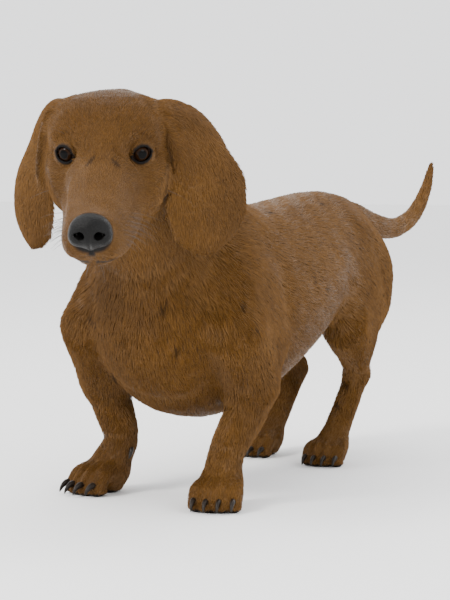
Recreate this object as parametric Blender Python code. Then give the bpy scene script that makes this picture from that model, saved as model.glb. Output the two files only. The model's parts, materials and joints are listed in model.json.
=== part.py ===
"""A smooth-coated dachshund as a still, life-size museum model, standing in mid-stride.

Frame: metres, +Z up, the floor at Z 0. The dog faces -Y and its left side is +X.
The body is modelled like clay: limbs and muscles, each given by a few stations, are
blended into one solid, which thin cuts then part into the pieces a person would name.
"""

import math

import bmesh
import bpy
import numpy as np
import openvdb
from mathutils import Matrix, Vector

# --- Driving dimensions ------------------------------------------------------------
WITHERS_HEIGHT = 0.235  # floor to the top of the shoulders
CM = WITHERS_HEIGHT / 23.5  # every table below is in centimetres, for that height
VOXEL = 0.22 * CM  # spacing of the clay's samples
CUT = 0.0004  # metres, the width of the thin cuts between parts
BODY_TRIANGLES = 3300  # of the whole body before it is parted
EMPTY = 6.0 * CM  # the clay's value in empty space

# --- Head, in its own frame: facing -Y and level, with its origin between the eyes ---
HEAD_ORIGIN = (2.6, -29.6, 26.9)
HEAD_YAW, HEAD_PITCH = 25.0, 16.5  # degrees, to its left and nose down
EYE_SIDE, EYE_BACK, EYE_RADIUS = 2.4, 0.35, 0.95
EYE_TURN = 24.0  # degrees, how far each eye looks out to its side
NOSE_CENTRE, NOSE_RADII = (0.0, -9.6, -2.65), (1.42, 1.0, 1.2)
MUZZLE = (  # centre, half width, half height
    ((0.0, 1.5, -1.7), 3.2, 3.0),
    ((0.0, -1.8, -2.1), 2.5, 2.45),
    ((0.0, -5.2, -2.8), 2.2, 2.05),
    ((0.0, -8.2, -3.2), 2.1, 1.85),
)
JAW = (
    ((0.0, 3.0, -4.2), 2.9, 1.7),
    ((0.0, -1.5, -4.9), 1.9, 1.15),
    ((0.0, -5.5, -5.2), 1.35, 0.85),
    ((0.0, -7.9, -5.2), 1.05, 0.7),
)
EARS = {  # by side, with the right one mirrored: centre, half width, half thickness, turn of its back edge outwards
    1: (
        ((2.6, 3.5, 2.0), 1.3, 0.50, 0),
        ((3.9, 3.7, 2.5), 1.9, 0.45, 8),
        ((5.3, 3.9, 1.6), 2.4, 0.40, 24),
        ((6.35, 3.9, -0.6), 3.0, 0.37, 38),
        ((6.65, 3.6, -3.2), 3.6, 0.35, 52),
        ((6.35, 3.2, -5.8), 3.5, 0.34, 58),
        ((6.1, 3.0, -7.7), 2.5, 0.32, 58),
        ((6.0, 2.9, -8.8), 0.8, 0.26, 58),
    ),
    -1: (
        ((2.6, 3.5, 2.0), 1.3, 0.50, 0),
        ((3.6, 3.7, 2.5), 1.8, 0.45, 6),
        ((4.65, 4.1, 1.6), 2.4, 0.40, 14),
        ((5.6, 4.4, -0.6), 2.9, 0.37, 22),
        ((6.4, 4.4, -3.2), 3.3, 0.35, 32),
        ((6.7, 4.1, -5.6), 3.0, 0.34, 38),
        ((6.6, 3.8, -7.3), 2.1, 0.32, 40),
        ((6.55, 3.6, -8.2), 0.7, 0.26, 40),
    ),
}
EAR_CUP = 0.5  # how far the ear's edges curl in towards the cheek
EAR_SWING = {-1: -4.0, 1: 6.0}  # degrees, how far each ear swings out as the dog moves

# --- Body ----------------------------------------------------------------------------
TRUNK = (  # places across and along, height of the back and of the belly, half width
    (0.0, -17.4, 19.4, 7.8, 5.7),
    (0.0, -15.2, 22.0, 6.4, 6.8),
    (0.0, -11.5, 23.4, 6.0, 7.4),
    (0.0, -7.0, 23.4, 6.7, 7.5),
    (0.0, -2.0, 23.1, 8.5, 7.3),
    (-0.1, 3.0, 23.3, 10.7, 6.7),
    (-0.3, 8.0, 23.8, 12.4, 5.7),
    (-0.5, 12.0, 24.0, 13.2, 5.1),
    (-0.7, 15.3, 23.5, 13.2, 4.7),
    (-0.8, 17.2, 22.2, 13.8, 3.8),
)
NECK = (  # centre, half width, half depth
    ((0.0, -9.5, 17.5), 5.4, 5.4),
    ((0.0, -14.5, 19.2), 5.2, 5.8),
    ((0.2, -18.6, 22.0), 4.6, 5.2),
    ((0.6, -21.8, 25.2), 4.1, 4.7),
    ((1.0, -24.4, 27.8), 3.8, 4.2),
)
TAIL = (  # centre, radius
    ((-0.7, 16.3, 21.3), 1.9),
    ((-0.7, 20.0, 21.5), 1.5),
    ((-0.3, 24.4, 20.6), 1.22),
    ((0.1, 28.8, 20.2), 1.04),
    ((0.5, 32.6, 21.3), 0.87),
    ((0.8, 35.2, 23.8), 0.68),
    ((1.0, 36.4, 26.5), 0.43),
)

# --- Legs: side (left is +1), joints, and how far the paw turns out in degrees ---------
FRONT_LEGS = {
    "left": dict(side=1, elbow=(6.6, -13.9, 9.0), wrist=(5.3, -16.0, 4.3), paw=(5.3, -17.2), turn=16),
    "right": dict(side=-1, elbow=(-7.1, -13.4, 9.2), wrist=(-5.6, -13.5, 4.4), paw=(-6.6, -14.6), turn=18),
}
HIND_LEGS = {
    "left": dict(side=1, knee=(4.4, 8.0, 12.2), hock=(3.5, 12.6, 7.6), paw=(2.8, 8.2), turn=4),
    "right": dict(side=-1, knee=(-5.3, 11.0, 11.8), hock=(-4.8, 17.2, 7.3), paw=(-4.9, 10.6), turn=8),
}
HIPS_X, HIP_SIDE = -0.6, 3.0  # the hips' middle and how far each hip lies from it
TOES = (-1.5, -0.5, 0.5, 1.5)  # across the paw, in toe widths
TOE_SPACING, TOE_RADIUS, CLAW_RADIUS = 0.98, 0.70, 0.24
FRONT_PAW, HIND_PAW = 1.0, 0.92  # paw sizes


def cm(*values):
    """A point or a vector given in the tables' centimetres."""
    return np.array(values, float) * CM


def smooth_curve(rows, steps):
    """Rows of numbers read at finer steps along a Catmull-Rom curve through them."""
    rows = np.array(rows, float)
    padded = np.vstack([2 * rows[0] - rows[1], rows, 2 * rows[-1] - rows[-2]])
    found = []
    for i in range(1, len(rows)):
        a, b, c, d = padded[i - 1 : i + 3]
        for t in np.linspace(0, 1, steps, endpoint=False):
            found.append(
                0.5 * (2 * b + (c - a) * t + (2 * a - 5 * b + 4 * c - d) * t**2 + (3 * b - a - 3 * c + d) * t**3)
            )
    return np.array(found + [rows[-1]])


class Clay:
    """A block of space sampled on a grid, negative inside. Shapes blend into what is there."""

    def __init__(self, low, high):
        self.low = np.array(low, float)
        shape = np.ceil((np.array(high) - self.low) / VOXEL).astype(int) + 1
        self.field = np.full(shape, EMPTY, np.float32)

    def block(self, low, high):
        """The slices of the grid between two corners, and the sample points there."""
        first = np.clip(np.floor((low - self.low) / VOXEL).astype(int), 0, self.field.shape)
        last = np.clip(np.ceil((high - self.low) / VOXEL).astype(int) + 1, 0, self.field.shape)
        axes = [self.low[i] + VOXEL * np.arange(first[i], last[i]) for i in range(3)]
        return tuple(map(slice, first, last)), np.stack(np.meshgrid(*axes, indexing="ij"), -1)

    def blend(self, where, shape, width, sign=1):
        """Adds a shape's field, or digs it out where sign is -1, rounding the crease over that width."""
        here = self.field[where] * sign
        share = np.clip(0.5 + 0.5 * (here - shape) / width, 0, 1)
        self.field[where] = sign * (here * (1 - share) + shape * share - width * share * (1 - share))

    def sweep(self, stations, place=None, side=(1, 0, 0), blend=0.8, cap=0.7, steps=5):
        """A limb with an elliptical section. A station is (centre, half width, half depth)."""
        place = place or Matrix.Identity(4)
        rows = smooth_curve([[*c, *(r * 2 if len(r) == 1 else r)] for c, *r in stations], steps)
        centres = np.array([place @ Vector(row[:3] * CM) for row in rows])
        radii = rows[:, 3:] * CM
        side = np.array(place.to_3x3() @ Vector(side))
        reach = radii.max() + (blend + 0.5) * CM
        where, points = self.block(centres.min(0) - reach, centres.max(0) + reach)
        nearest = np.full(points.shape[:3], EMPTY, np.float32)
        for start, end, (wide, deep), (wide_end, deep_end) in zip(centres, centres[1:], radii, radii[1:]):
            length = np.linalg.norm(end - start)
            along = (end - start) / length
            across = side - (side @ along) * along
            across /= np.linalg.norm(across)
            offset = points - start
            t = np.clip(offset @ along / length, 0, 1)
            past = offset @ along - t * length
            width = wide + (wide_end - wide) * t
            depth = deep + (deep_end - deep) * t
            narrow = np.minimum(width, depth)
            section = (offset @ across / width) ** 2 + (offset @ np.cross(along, across) / depth) ** 2
            nearest = np.minimum(nearest, (np.sqrt(section + (past / (cap * narrow)) ** 2) - 1) * narrow)
        self.blend(where, nearest, blend * CM)

    def lump(self, centre, radii, place=None, turn=0.0, blend=0.8, sign=1):
        """An ellipsoid, turned about X by an angle in degrees. It is a hollow where sign is -1."""
        place = (place or Matrix.Identity(4)) @ Matrix.Translation(cm(*centre))
        place = place @ Matrix.Rotation(math.radians(turn), 4, "X")
        middle = np.array(place.translation)
        radii = cm(*radii)
        reach = radii.max() + (blend + 0.5) * CM
        where, points = self.block(middle - reach, middle + reach)
        local = (points - middle) @ np.array(place.to_3x3())
        near = np.linalg.norm(local / radii, axis=-1)
        slope = np.maximum(np.linalg.norm(local / radii**2, axis=-1), 1e-6)
        self.blend(where, near * (near - 1) / slope, blend * CM, sign)

    def object(self, name):
        """The clay's surface as a mesh object."""
        grid = openvdb.FloatGrid(background=EMPTY)
        grid.copyFromArray(self.field)
        points, quads = grid.convertToQuads(isovalue=0)
        mesh = bpy.data.meshes.new(name)
        mesh.from_pydata(points * VOXEL + self.low, [], quads[:, ::-1].tolist())
        return linked(name, mesh)


def linked(name, mesh):
    obj = bpy.data.objects.new(name, mesh)
    bpy.context.scene.collection.objects.link(obj)
    return obj


def head_place():
    yaw = Matrix.Rotation(math.radians(HEAD_YAW), 4, "Z")
    pitch = Matrix.Rotation(math.radians(HEAD_PITCH), 4, "X")
    return Matrix.Translation(cm(*HEAD_ORIGIN)) @ yaw @ pitch


def paw_place(leg):
    """Facing -Y along the toes, with its origin on the floor under the paw."""
    turn = Matrix.Rotation(math.radians(leg["turn"] * leg["side"]), 4, "Z")
    return Matrix.Translation(cm(*leg["paw"], 0)) @ turn


def model_head(clay):
    place = head_place()
    clay.lump((0, 3.7, -0.5), (4.2, 5.4, 4.0), place, blend=1.0)  # brain case
    clay.lump((0, 6.6, -0.9), (3.5, 3.6, 3.6), place, blend=1.2)  # back of the skull
    for side in (-1, 1):
        clay.lump((side * 2.4, 3.4, 1.2), (1.9, 2.9, 1.9), place, blend=1.2)  # temple
    clay.sweep(MUZZLE, place, blend=1.4, cap=0.8)
    clay.sweep(JAW, place, blend=0.9)
    for side in (-1, 1):
        clay.lump((side * 3.0, 2.7, -2.6), (1.45, 3.2, 2.4), place, turn=-15, blend=1.2)  # cheek
        clay.lump((side * 2.3, 0.9, 0.8), (1.4, 1.3, 0.8), place, turn=10, blend=1.2)  # brow
        lip = (
            ((side * 1.0, -8.8, -4.1), 0.9, 0.8),
            ((side * 1.5, -6.6, -4.4), 0.9, 1.0),
            ((side * 1.8, -3.4, -4.2), 0.9, 1.0),
            ((side * 2.2, -0.6, -3.8), 0.8, 0.8),
        )
        clay.sweep(lip, place, blend=0.9)
        out = math.radians(EYE_TURN)
        orbit = (side * (EYE_SIDE + 1.05 * math.sin(out)), EYE_BACK - 1.05 * math.cos(out), 0.02)
        clay.lump(orbit, (1.1, 0.85, 0.8), place, blend=0.6, sign=-1)
    clay.lump(NOSE_CENTRE, NOSE_RADII, place, turn=-12, blend=0.25)


def model_front_leg(clay, leg):
    side, elbow, wrist = leg["side"], leg["elbow"], leg["wrist"]
    shoulder = (side * 6.5, -16.9, 13.4)
    blade = (((side * 3.6, -10.6, 20.6), 1.3, 2.4), ((side * 5.9, -14.0, 17.0), 1.8, 3.0), (shoulder, 2.1, 2.8))
    clay.sweep(blade, blend=1.6)
    clay.sweep(((shoulder, 2.0, 2.7), (elbow, 2.0, 2.4)), blend=1.5)
    clay.lump((side * 6.2, -12.4, 12.4), (1.7, 3.0, 3.4), turn=20, blend=1.6)  # triceps
    paw = paw_place(leg)
    pastern = paw @ Vector(cm(0, 0.7, 2.3)) / CM
    middle = np.array(elbow) * 0.5 + np.array(wrist) * 0.5 + (side * 0.1, 0.1, 0)
    clay.sweep(((elbow, 1.8, 2.3), (middle, 1.6, 1.85), (wrist, 1.45, 1.5), (tuple(pastern), 1.5, 1.45)), blend=0.8)
    clay.lump((elbow[0], elbow[1] + 1.5, elbow[2] + 0.4), (0.9, 1.1, 1.0), blend=0.9)  # point of the elbow
    model_paw(clay, paw, FRONT_PAW)


def model_hind_leg(clay, leg):
    side, knee, hock = leg["side"], leg["knee"], leg["hock"]
    hip = (HIPS_X + side * HIP_SIDE, 15.0, 18.0)
    middle = (HIPS_X + side * 3.9, (hip[1] + knee[1]) / 2 + 0.9, 15.0)
    clay.sweep(((hip, 2.2, 4.6), (middle, 2.3, 4.5), (knee, 1.8, 2.7)), blend=1.8)
    clay.lump((HIPS_X + side * 2.8, 16.9, 16.0), (2.4, 3.1, 4.3), turn=-12, blend=1.8)  # buttock
    calf = (np.array(knee) * 0.55 + np.array(hock) * 0.45 + (side * 0.1, 0.5, 0.1)).tolist()
    hamstring = (HIPS_X + side * 3.0, 16.4, 14.0)
    clay.sweep(((hamstring, 1.9, 2.5), ((calf[0], calf[1] + 0.7, calf[2] + 0.9), 1.3, 1.7)), blend=1.4, steps=4)
    clay.sweep(((knee, 1.8, 2.5), (calf, 1.6, 2.1), (hock, 1.1, 1.25)), blend=1.2)
    clay.lump((hock[0], hock[1] + 0.75, hock[2] + 0.35), (0.75, 0.8, 1.0), blend=0.7)  # point of the hock
    paw = paw_place(leg)
    pastern = tuple(paw @ Vector(cm(0, 1.1, 2.2)) / CM)
    clay.sweep(((hock, 1.1, 1.25), (pastern, 1.2, 1.2)), blend=0.8, steps=3)
    model_paw(clay, paw, HIND_PAW)


def toe_joints(toe, size):
    """The toe's root, knuckle and tip in the paw's frame."""
    out, back = toe * TOE_SPACING * size, 0.36 * (abs(toe) - 0.5) * size
    return (
        (out * 0.75, -0.2 * size, 1.9 * size),
        (out, (back - 1.55 * size), (1.75 - 0.12 * abs(toe)) * size),
        (out * 1.04, (back - 2.35 * size), 0.62 * size),
    )


def model_paw(clay, place, size):
    clay.lump((0, 0.5 * size, 1.5 * size), (1.7 * size, 1.8 * size, 1.5 * size), place, blend=0.9)
    clay.lump((0, 0.3 * size, 0.5 * size), (1.3 * size, 1.2 * size, 0.75 * size), place, blend=0.5)  # heel pad
    radius = TOE_RADIUS * size
    for toe in TOES:
        root, knuckle, tip = toe_joints(toe, size)
        clay.sweep(((root, radius), (knuckle, radius), (tip, radius * 0.98)), place, blend=0.28, cap=1.0)


def model_body():
    clay = Clay(cm(-10.5, -41.5, -1.2), cm(10.5, 38.5, 33.5))
    trunk = [((x, y, (top + belly) / 2), wide, (top - belly) / 2) for x, y, top, belly, wide in TRUNK]
    clay.sweep(trunk, blend=0.5, cap=0.55)
    clay.lump((0, -17.6, 13.4), (3.6, 2.9, 4.2), blend=2.0)  # breastbone
    clay.sweep(NECK, blend=2.4)
    clay.sweep([(c, r) for c, r in TAIL], blend=1.2, cap=1.0)
    for leg in FRONT_LEGS.values():
        model_front_leg(clay, leg)
    for leg in HIND_LEGS.values():
        model_hind_leg(clay, leg)
    model_head(clay)
    return clay.object("body")


def loft(name, stations, place, sides, cup=0.0, steps=2):
    """A closed tube of elliptical rings.

    A station is (centre, half width, half thickness, turn). The width lies along X, turned about
    Z by the turn in degrees. The tube's edges bend off its middle by the cup.
    """
    rows = smooth_curve([[*c, *r] for c, *r in stations], steps)
    made = bmesh.new()
    rings = []
    for i, row in enumerate(rows):
        along = Vector(rows[min(i + 1, len(rows) - 1)][:3] - rows[max(i - 1, 0)][:3]).normalized()
        turn = math.radians(row[5])
        side = Vector((math.cos(turn), math.sin(turn), 0))
        across = (side - side.dot(along) * along).normalized()
        face = along.cross(across)
        ring = []
        for k in range(sides):
            angle = 2 * math.pi * k / sides
            u, v = math.cos(angle), math.sin(angle)
            spot = Vector(row[:3]) + across * (row[3] * u) + face * (row[4] * v + cup * u * u)
            ring.append(made.verts.new(place @ (spot * CM)))
        rings.append(ring)
    for one, two in zip(rings, rings[1:]):
        for k in range(sides):
            made.faces.new((one[k], one[(k + 1) % sides], two[(k + 1) % sides], two[k]))
    for ring in (rings[0], rings[-1]):
        made.faces.new(ring)
    bmesh.ops.recalc_face_normals(made, faces=made.faces)
    mesh = bpy.data.meshes.new(name)
    made.to_mesh(mesh)
    made.free()
    return linked(name, mesh)


def model_ear(side):
    stations = [((c[0] * side, c[1], c[2]), wide, thin, 90 - turn * side) for c, wide, thin, turn in EARS[side]]
    hinge = Vector(cm(3.9 * side, 3.7, 2.5))
    swing = Matrix.Rotation(math.radians(-EAR_SWING[side] * side), 4, "Y")
    place = head_place() @ Matrix.Translation(hinge) @ swing @ Matrix.Translation(-hinge)
    name = "ear_left" if side > 0 else "ear_right"
    return loft(name, stations, place, sides=12, cup=-EAR_CUP * side)


def model_claw(name, place, toe, size, grow):
    _, _, (x, y, z) = toe_joints(toe, size)
    radius, grow = CLAW_RADIUS * size, grow / CM
    stations = (
        ((x, y - 0.30 * size + grow, z + 0.30 * size), radius * 0.9 + grow),
        ((x, y - 0.72 * size, z + 0.22 * size), radius + grow),
        ((x, y - 1.08 * size, z - 0.06 * size), radius * 0.72 + grow),
        ((x, y - 1.28 * size, z - 0.38 * size), radius * 0.3 + grow),
    )
    return loft(name, [(c, r, r, 0) for c, r in stations], place, sides=6, steps=1)


def evaluated(obj):
    """Applies the object's modifiers."""
    graph = bpy.context.evaluated_depsgraph_get()
    obj.data = bpy.data.meshes.new_from_object(obj.evaluated_get(graph))
    obj.modifiers.clear()
    return obj


def boolean(obj, other, operation):
    modifier = obj.modifiers.new("cut", "BOOLEAN")
    modifier.object, modifier.operation, modifier.solver = other, operation, "EXACT"
    return evaluated(obj)


def copied(obj, name):
    return linked(name, obj.data.copy())


def removed(obj):
    bpy.data.objects.remove(obj)


def reduced(obj, triangles):
    """Triangulated and collapsed to about that many triangles."""
    obj.modifiers.new("triangles", "TRIANGULATE")
    evaluated(obj)
    obj.modifiers.new("fewer", "DECIMATE").ratio = min(1.0, triangles / len(obj.data.polygons))
    return evaluated(obj)


def swollen(obj, by):
    """A copy whose surface stands that far out."""
    copy = copied(obj, obj.name + "_swollen")
    copy.modifiers.new("swell", "DISPLACE").strength = by
    copy.modifiers["swell"].mid_level = 0
    return evaluated(copy)


def hull(points):
    """The convex hull of points, as an object."""
    made = bmesh.new()
    for point in points:
        made.verts.new(point)
    found = bmesh.ops.convex_hull(made, input=made.verts)
    bmesh.ops.delete(made, geom=list({*found["geom_interior"], *found["geom_unused"]}), context="VERTS")
    mesh = bpy.data.meshes.new("region")
    made.to_mesh(mesh)
    made.free()
    return linked("region", mesh)


def beyond(point, normal, reach=(30, 30, 30)):
    """A function of grow that makes the block beyond a plane; reach is its size across and deep."""

    def region(grow):
        turn = Vector(normal).to_track_quat("Z", "X").to_matrix().to_4x4()
        wide, long, deep = cm(*reach)
        place = Matrix.Translation(cm(*point)) @ turn
        return hull(
            place @ Vector((x * wide, y * long, z)) for x in (-1, 1) for y in (-1, 1) for z in (-grow, deep)
        )

    return region


def around(*balls):
    """A function of grow that makes the hull round some ellipsoids, each (centre, radii)."""

    def region(grow):
        points = []
        for centre, radii in balls:
            made = bmesh.new()
            bmesh.ops.create_icosphere(made, subdivisions=1, radius=1)
            points += [Vector(cm(*centre)) + v.co * Vector(cm(*radii) + grow) for v in made.verts]
            made.free()
        return hull(points)

    return region


def between(low, high):
    """A function of grow that makes the block between two corners."""

    def region(grow):
        low_corner, high_corner = cm(*low) - grow, cm(*high) + grow
        return hull(
            (x, y, z)
            for x in (low_corner[0], high_corner[0])
            for y in (low_corner[1], high_corner[1])
            for z in (low_corner[2], high_corner[2])
        )

    return region


def keep_largest(obj):
    """Deletes every loose scrap of an object."""
    made = bmesh.new()
    made.from_mesh(obj.data)
    left, islands = set(made.verts), []
    while left:
        island = [left.pop()]
        for vert in island:
            for edge in vert.link_edges:
                other = edge.other_vert(vert)
                if other in left:
                    left.discard(other)
                    island.append(other)
        islands.append(island)
    islands.sort(key=len)
    bmesh.ops.delete(made, geom=[v for island in islands[:-1] for v in island], context="VERTS")
    made.to_mesh(obj.data)
    made.free()


def part_off(rest, name, region):
    """Parts the region's share of the body off, leaving a thin cut round it."""
    piece = copied(rest, name)
    for obj, grow, operation in ((piece, 0.0, "INTERSECT"), (rest, CUT, "DIFFERENCE")):
        cutter = region(grow)
        boolean(obj, cutter, operation)
        removed(cutter)
        keep_largest(obj)
    return piece


def part_front_leg(body, name, leg):
    side, elbow, wrist = leg["side"], leg["elbow"], leg["wrist"]
    x, y = leg["paw"]
    part_off(body, f"front_paw_{name}", between((x - 3.6, y - 4.5, -2), (x + 3.6, y + 3.0, 2.9)))
    low = (wrist[0], wrist[1], wrist[2] - 1.0)
    high = (elbow[0] + side * 1.6, elbow[1] + 0.3, elbow[2] - 1.4)
    part_off(body, f"forearm_{name}", around((low, (3.0, 3.0, 2.0)), (high, (3.2, 4.2, 1.9))))
    shoulder = around(((side * 8.4, -16.2, 12.8), (3.4, 3.6, 4.0)), ((side * 7.6, -12.6, 16.4), (3.4, 3.4, 4.0)))
    part_off(body, f"upper_arm_{name}", shoulder)


def part_hind_leg(body, name, leg):
    side, knee, hock = leg["side"], leg["knee"], leg["hock"]
    x, y = leg["paw"]
    part_off(body, f"hind_paw_{name}", between((x - 3.2, y - 4.5, -2), (x + 3.2, y + 2.6, 2.7)))
    inner, outer = sorted((side * 0.6, side * 11.0))
    part_off(body, f"hind_pastern_{name}", between((inner, 4.6, 2.0), (outer, 25.0, hock[2] - 0.4)))
    part_off(body, f"lower_leg_{name}", between((inner, 4.6, 3.0), (outer, 25.0, 10.3)))
    thigh = around(
        ((side * 7.4, 15.6, 17.0), (4.4, 4.8, 4.6)),
        ((side * 7.4, knee[1] + 1.6, 12.2), (4.6, 5.0, 3.6)),
        ((side * 7.4, 16.4, 12.2), (4.4, 4.4, 3.6)),
    )
    part_off(body, f"thigh_{name}", thigh)


def part_body(body):
    """Cuts the body into its named parts. What is left at the end is the belly."""
    place = head_place()
    back_of_head = place @ Vector(cm(0, 7.3, -1.6)) / CM
    neck_line = Vector((0.05, -0.68, 0.72))
    head = part_off(body, "head", beyond(tuple(back_of_head), neck_line))
    nose_spot = place @ Vector(cm(*NOSE_CENTRE) + cm(0, -0.95, 0.05)) / CM
    part_off(head, "nose", around((tuple(nose_spot), (1.75, 1.45, 1.3))))
    part_off(body, "neck", beyond((0, -16.6, 21.0), (0, -0.80, 0.60)))
    part_off(body, "tail_tip", beyond((0, 33.0, 22.3), (0, 0.75, 0.66), (4, 4, 20)))
    part_off(body, "tail_middle", beyond((0, 26.6, 19.8), (0, 1, 0), (4, 4, 20)))
    part_off(body, "tail_base", beyond((0, 20.6, 20.4), (0, 0.97, 0.24), (4, 3.2, 20)))
    for name, leg in FRONT_LEGS.items():
        part_front_leg(body, name, leg)
    for name, leg in HIND_LEGS.items():
        part_hind_leg(body, name, leg)
    part_off(body, "chest", beyond((0, -4.5, 14), (0, -1, -0.12)))
    part_off(body, "rump", beyond((0, 9.0, 16), (0, 1, 0)))
    body.name = "belly"


def add_ears():
    """The ears lie against the head and the neck, parted from them by a thin cut."""
    skins = [swollen(bpy.data.objects[name], CUT) for name in ("head", "neck")]
    for side in (-1, 1):
        ear = model_ear(side)
        for skin in skins:
            boolean(ear, skin, "DIFFERENCE")
        keep_largest(ear)
    for skin in skins:
        removed(skin)


def ball(name, place, radius):
    made = bmesh.new()
    bmesh.ops.create_icosphere(made, subdivisions=3, radius=radius, matrix=place)
    mesh = bpy.data.meshes.new(name)
    made.to_mesh(mesh)
    made.free()
    return linked(name, mesh)


def add_eyes():
    head = bpy.data.objects["head"]
    for side, name in ((-1, "eye_right"), (1, "eye_left")):
        place = head_place() @ Matrix.Translation(cm(side * EYE_SIDE, EYE_BACK, 0))
        socket = ball("socket", place, EYE_RADIUS * CM + CUT)
        boolean(head, socket, "DIFFERENCE")
        removed(socket)
        ball(name, place, EYE_RADIUS * CM)


def model_dewclaw(name, leg, grow):
    """The small claw on the inner side of the wrist."""
    x, y, z = leg["wrist"][0] - leg["side"] * 1.35, leg["wrist"][1] - 0.7, leg["wrist"][2] - 1.1
    grow = grow / CM
    stations = (((x, y + 0.1, z + 0.45 + grow), 0.17), ((x, y - 0.1, z), 0.17), ((x, y - 0.4, z - 0.45), 0.06))
    return loft(name, [(c, r + grow, r + grow, 0) for c, r in stations], Matrix.Identity(4), sides=6, steps=2)


def add_claws():
    """Four claws to a paw, each set in its toe."""
    for row, legs, size in (("front", FRONT_LEGS, FRONT_PAW), ("hind", HIND_LEGS, HIND_PAW)):
        for name, leg in legs.items():
            paw = bpy.data.objects[f"{row}_paw_{name}"]
            for number, toe in enumerate(TOES, 1):
                bed = model_claw("bed", paw_place(leg), toe, size, CUT)
                boolean(paw, bed, "DIFFERENCE")
                removed(bed)
                model_claw(f"{row}_claw_{name}_{number}", paw_place(leg), toe, size, 0.0)
    for name, leg in FRONT_LEGS.items():
        for part in (f"front_paw_{name}", f"forearm_{name}"):
            bed = model_dewclaw("bed", leg, CUT)
            boolean(bpy.data.objects[part], bed, "DIFFERENCE")
            removed(bed)
        model_dewclaw(f"dewclaw_{name}", leg, 0.0)


def material(name, colour, roughness, coat=0.0):
    made = bpy.data.materials.new(name)
    made.use_nodes = True
    shader = made.node_tree.nodes["Principled BSDF"]
    shader.inputs["Base Color"].default_value = (*colour, 1)
    shader.inputs["Roughness"].default_value = roughness
    shader.inputs["Coat Weight"].default_value = coat
    return made


def paint():
    coat = material("brown_coat", (0.205, 0.098, 0.036), 0.65)
    horn = material("claw_horn", (0.035, 0.026, 0.020), 0.40)
    leather = material("nose_leather", (0.016, 0.014, 0.013), 0.38)
    eye = material("dark_eye", (0.018, 0.010, 0.006), 0.08, coat=1.0)
    for obj in bpy.data.objects:
        name = obj.name
        obj.data.materials.clear()
        obj.data.materials.append(
            horn if "claw" in name else leather if name == "nose" else eye if name.startswith("eye") else coat
        )
        obj.data.shade_smooth()
        obj.data.set_sharp_from_angle(angle=math.radians(50))


def centre():
    """Moves the middle of the dog's bounding box over the frame's origin."""
    points = np.array([v.co for obj in bpy.data.objects for v in obj.data.vertices])
    middle = (points.min(0) + points.max(0)) / 2
    shift = Matrix.Translation((-middle[0], -middle[1], 0))
    for obj in bpy.data.objects:
        obj.data.transform(shift)


def main():
    for obj in list(bpy.data.objects):
        bpy.data.objects.remove(obj)
    body = reduced(model_body(), BODY_TRIANGLES)
    floor = between((-30, -60, -10), (30, 60, 0))(0)
    boolean(body, floor, "DIFFERENCE")
    removed(floor)
    part_body(body)
    add_ears()
    add_eyes()
    add_claws()
    paint()
    centre()


main()
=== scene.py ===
"""The looks of a life-size smooth-coated dachshund: skin, coat, eyes, nose, claws, whiskers.

The skin is a distance field round the solids of flesh, which strokes and sweeps then model. The
coat is solid tufts on it, whose lie, length and spacing are blended from a few guides.
"""

import json
import math
from functools import partial

import bmesh
import bpy
import numpy as np
import openvdb
from mathutils import Matrix, Vector

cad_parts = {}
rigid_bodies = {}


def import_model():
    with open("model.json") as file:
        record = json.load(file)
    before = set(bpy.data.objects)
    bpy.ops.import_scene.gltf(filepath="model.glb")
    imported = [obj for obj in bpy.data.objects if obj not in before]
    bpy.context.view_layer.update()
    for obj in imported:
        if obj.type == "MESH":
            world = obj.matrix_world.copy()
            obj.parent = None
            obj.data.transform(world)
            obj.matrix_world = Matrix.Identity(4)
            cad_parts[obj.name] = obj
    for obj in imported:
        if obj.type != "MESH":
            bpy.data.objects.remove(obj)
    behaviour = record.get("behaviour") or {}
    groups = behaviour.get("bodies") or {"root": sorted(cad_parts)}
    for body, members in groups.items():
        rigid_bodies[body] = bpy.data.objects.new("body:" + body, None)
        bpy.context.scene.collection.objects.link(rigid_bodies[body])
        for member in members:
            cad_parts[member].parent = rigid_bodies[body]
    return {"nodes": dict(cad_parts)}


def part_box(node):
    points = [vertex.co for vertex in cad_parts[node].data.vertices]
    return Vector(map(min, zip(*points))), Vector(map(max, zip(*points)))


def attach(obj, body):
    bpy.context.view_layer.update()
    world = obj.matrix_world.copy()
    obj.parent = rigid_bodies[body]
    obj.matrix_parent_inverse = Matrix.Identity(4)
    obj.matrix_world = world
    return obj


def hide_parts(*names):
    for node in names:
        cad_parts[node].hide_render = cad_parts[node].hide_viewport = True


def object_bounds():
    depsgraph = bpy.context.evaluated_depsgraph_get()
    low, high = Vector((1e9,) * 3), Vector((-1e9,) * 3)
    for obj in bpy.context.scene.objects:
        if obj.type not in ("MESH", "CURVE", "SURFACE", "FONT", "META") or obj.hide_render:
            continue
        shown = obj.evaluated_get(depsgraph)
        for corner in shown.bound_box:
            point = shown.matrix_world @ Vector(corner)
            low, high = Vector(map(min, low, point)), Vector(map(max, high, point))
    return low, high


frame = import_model()
CAD_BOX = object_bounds()

CM, MM = 0.01, 0.001
SIDES = (-1, 1)  # the dog's right, then its left
RNG = np.random.default_rng(20)

# --- Places, from the design's tables in centimetres ---
EYE_SIDE, EYE_BACK, EYE_RADIUS, EYE_TURN = 2.4, 0.35, 0.95, 24.0  # the turn is in degrees
HEAD_YAW, HEAD_PITCH = 25.0, 16.5  # degrees
TABLE_EYES = Vector((2.4582, -29.2959, 26.9994))  # the middle between the eyes in the tables


def centre_of(node):
    low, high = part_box(node)
    return (Vector(low) + Vector(high)) / 2


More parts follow.
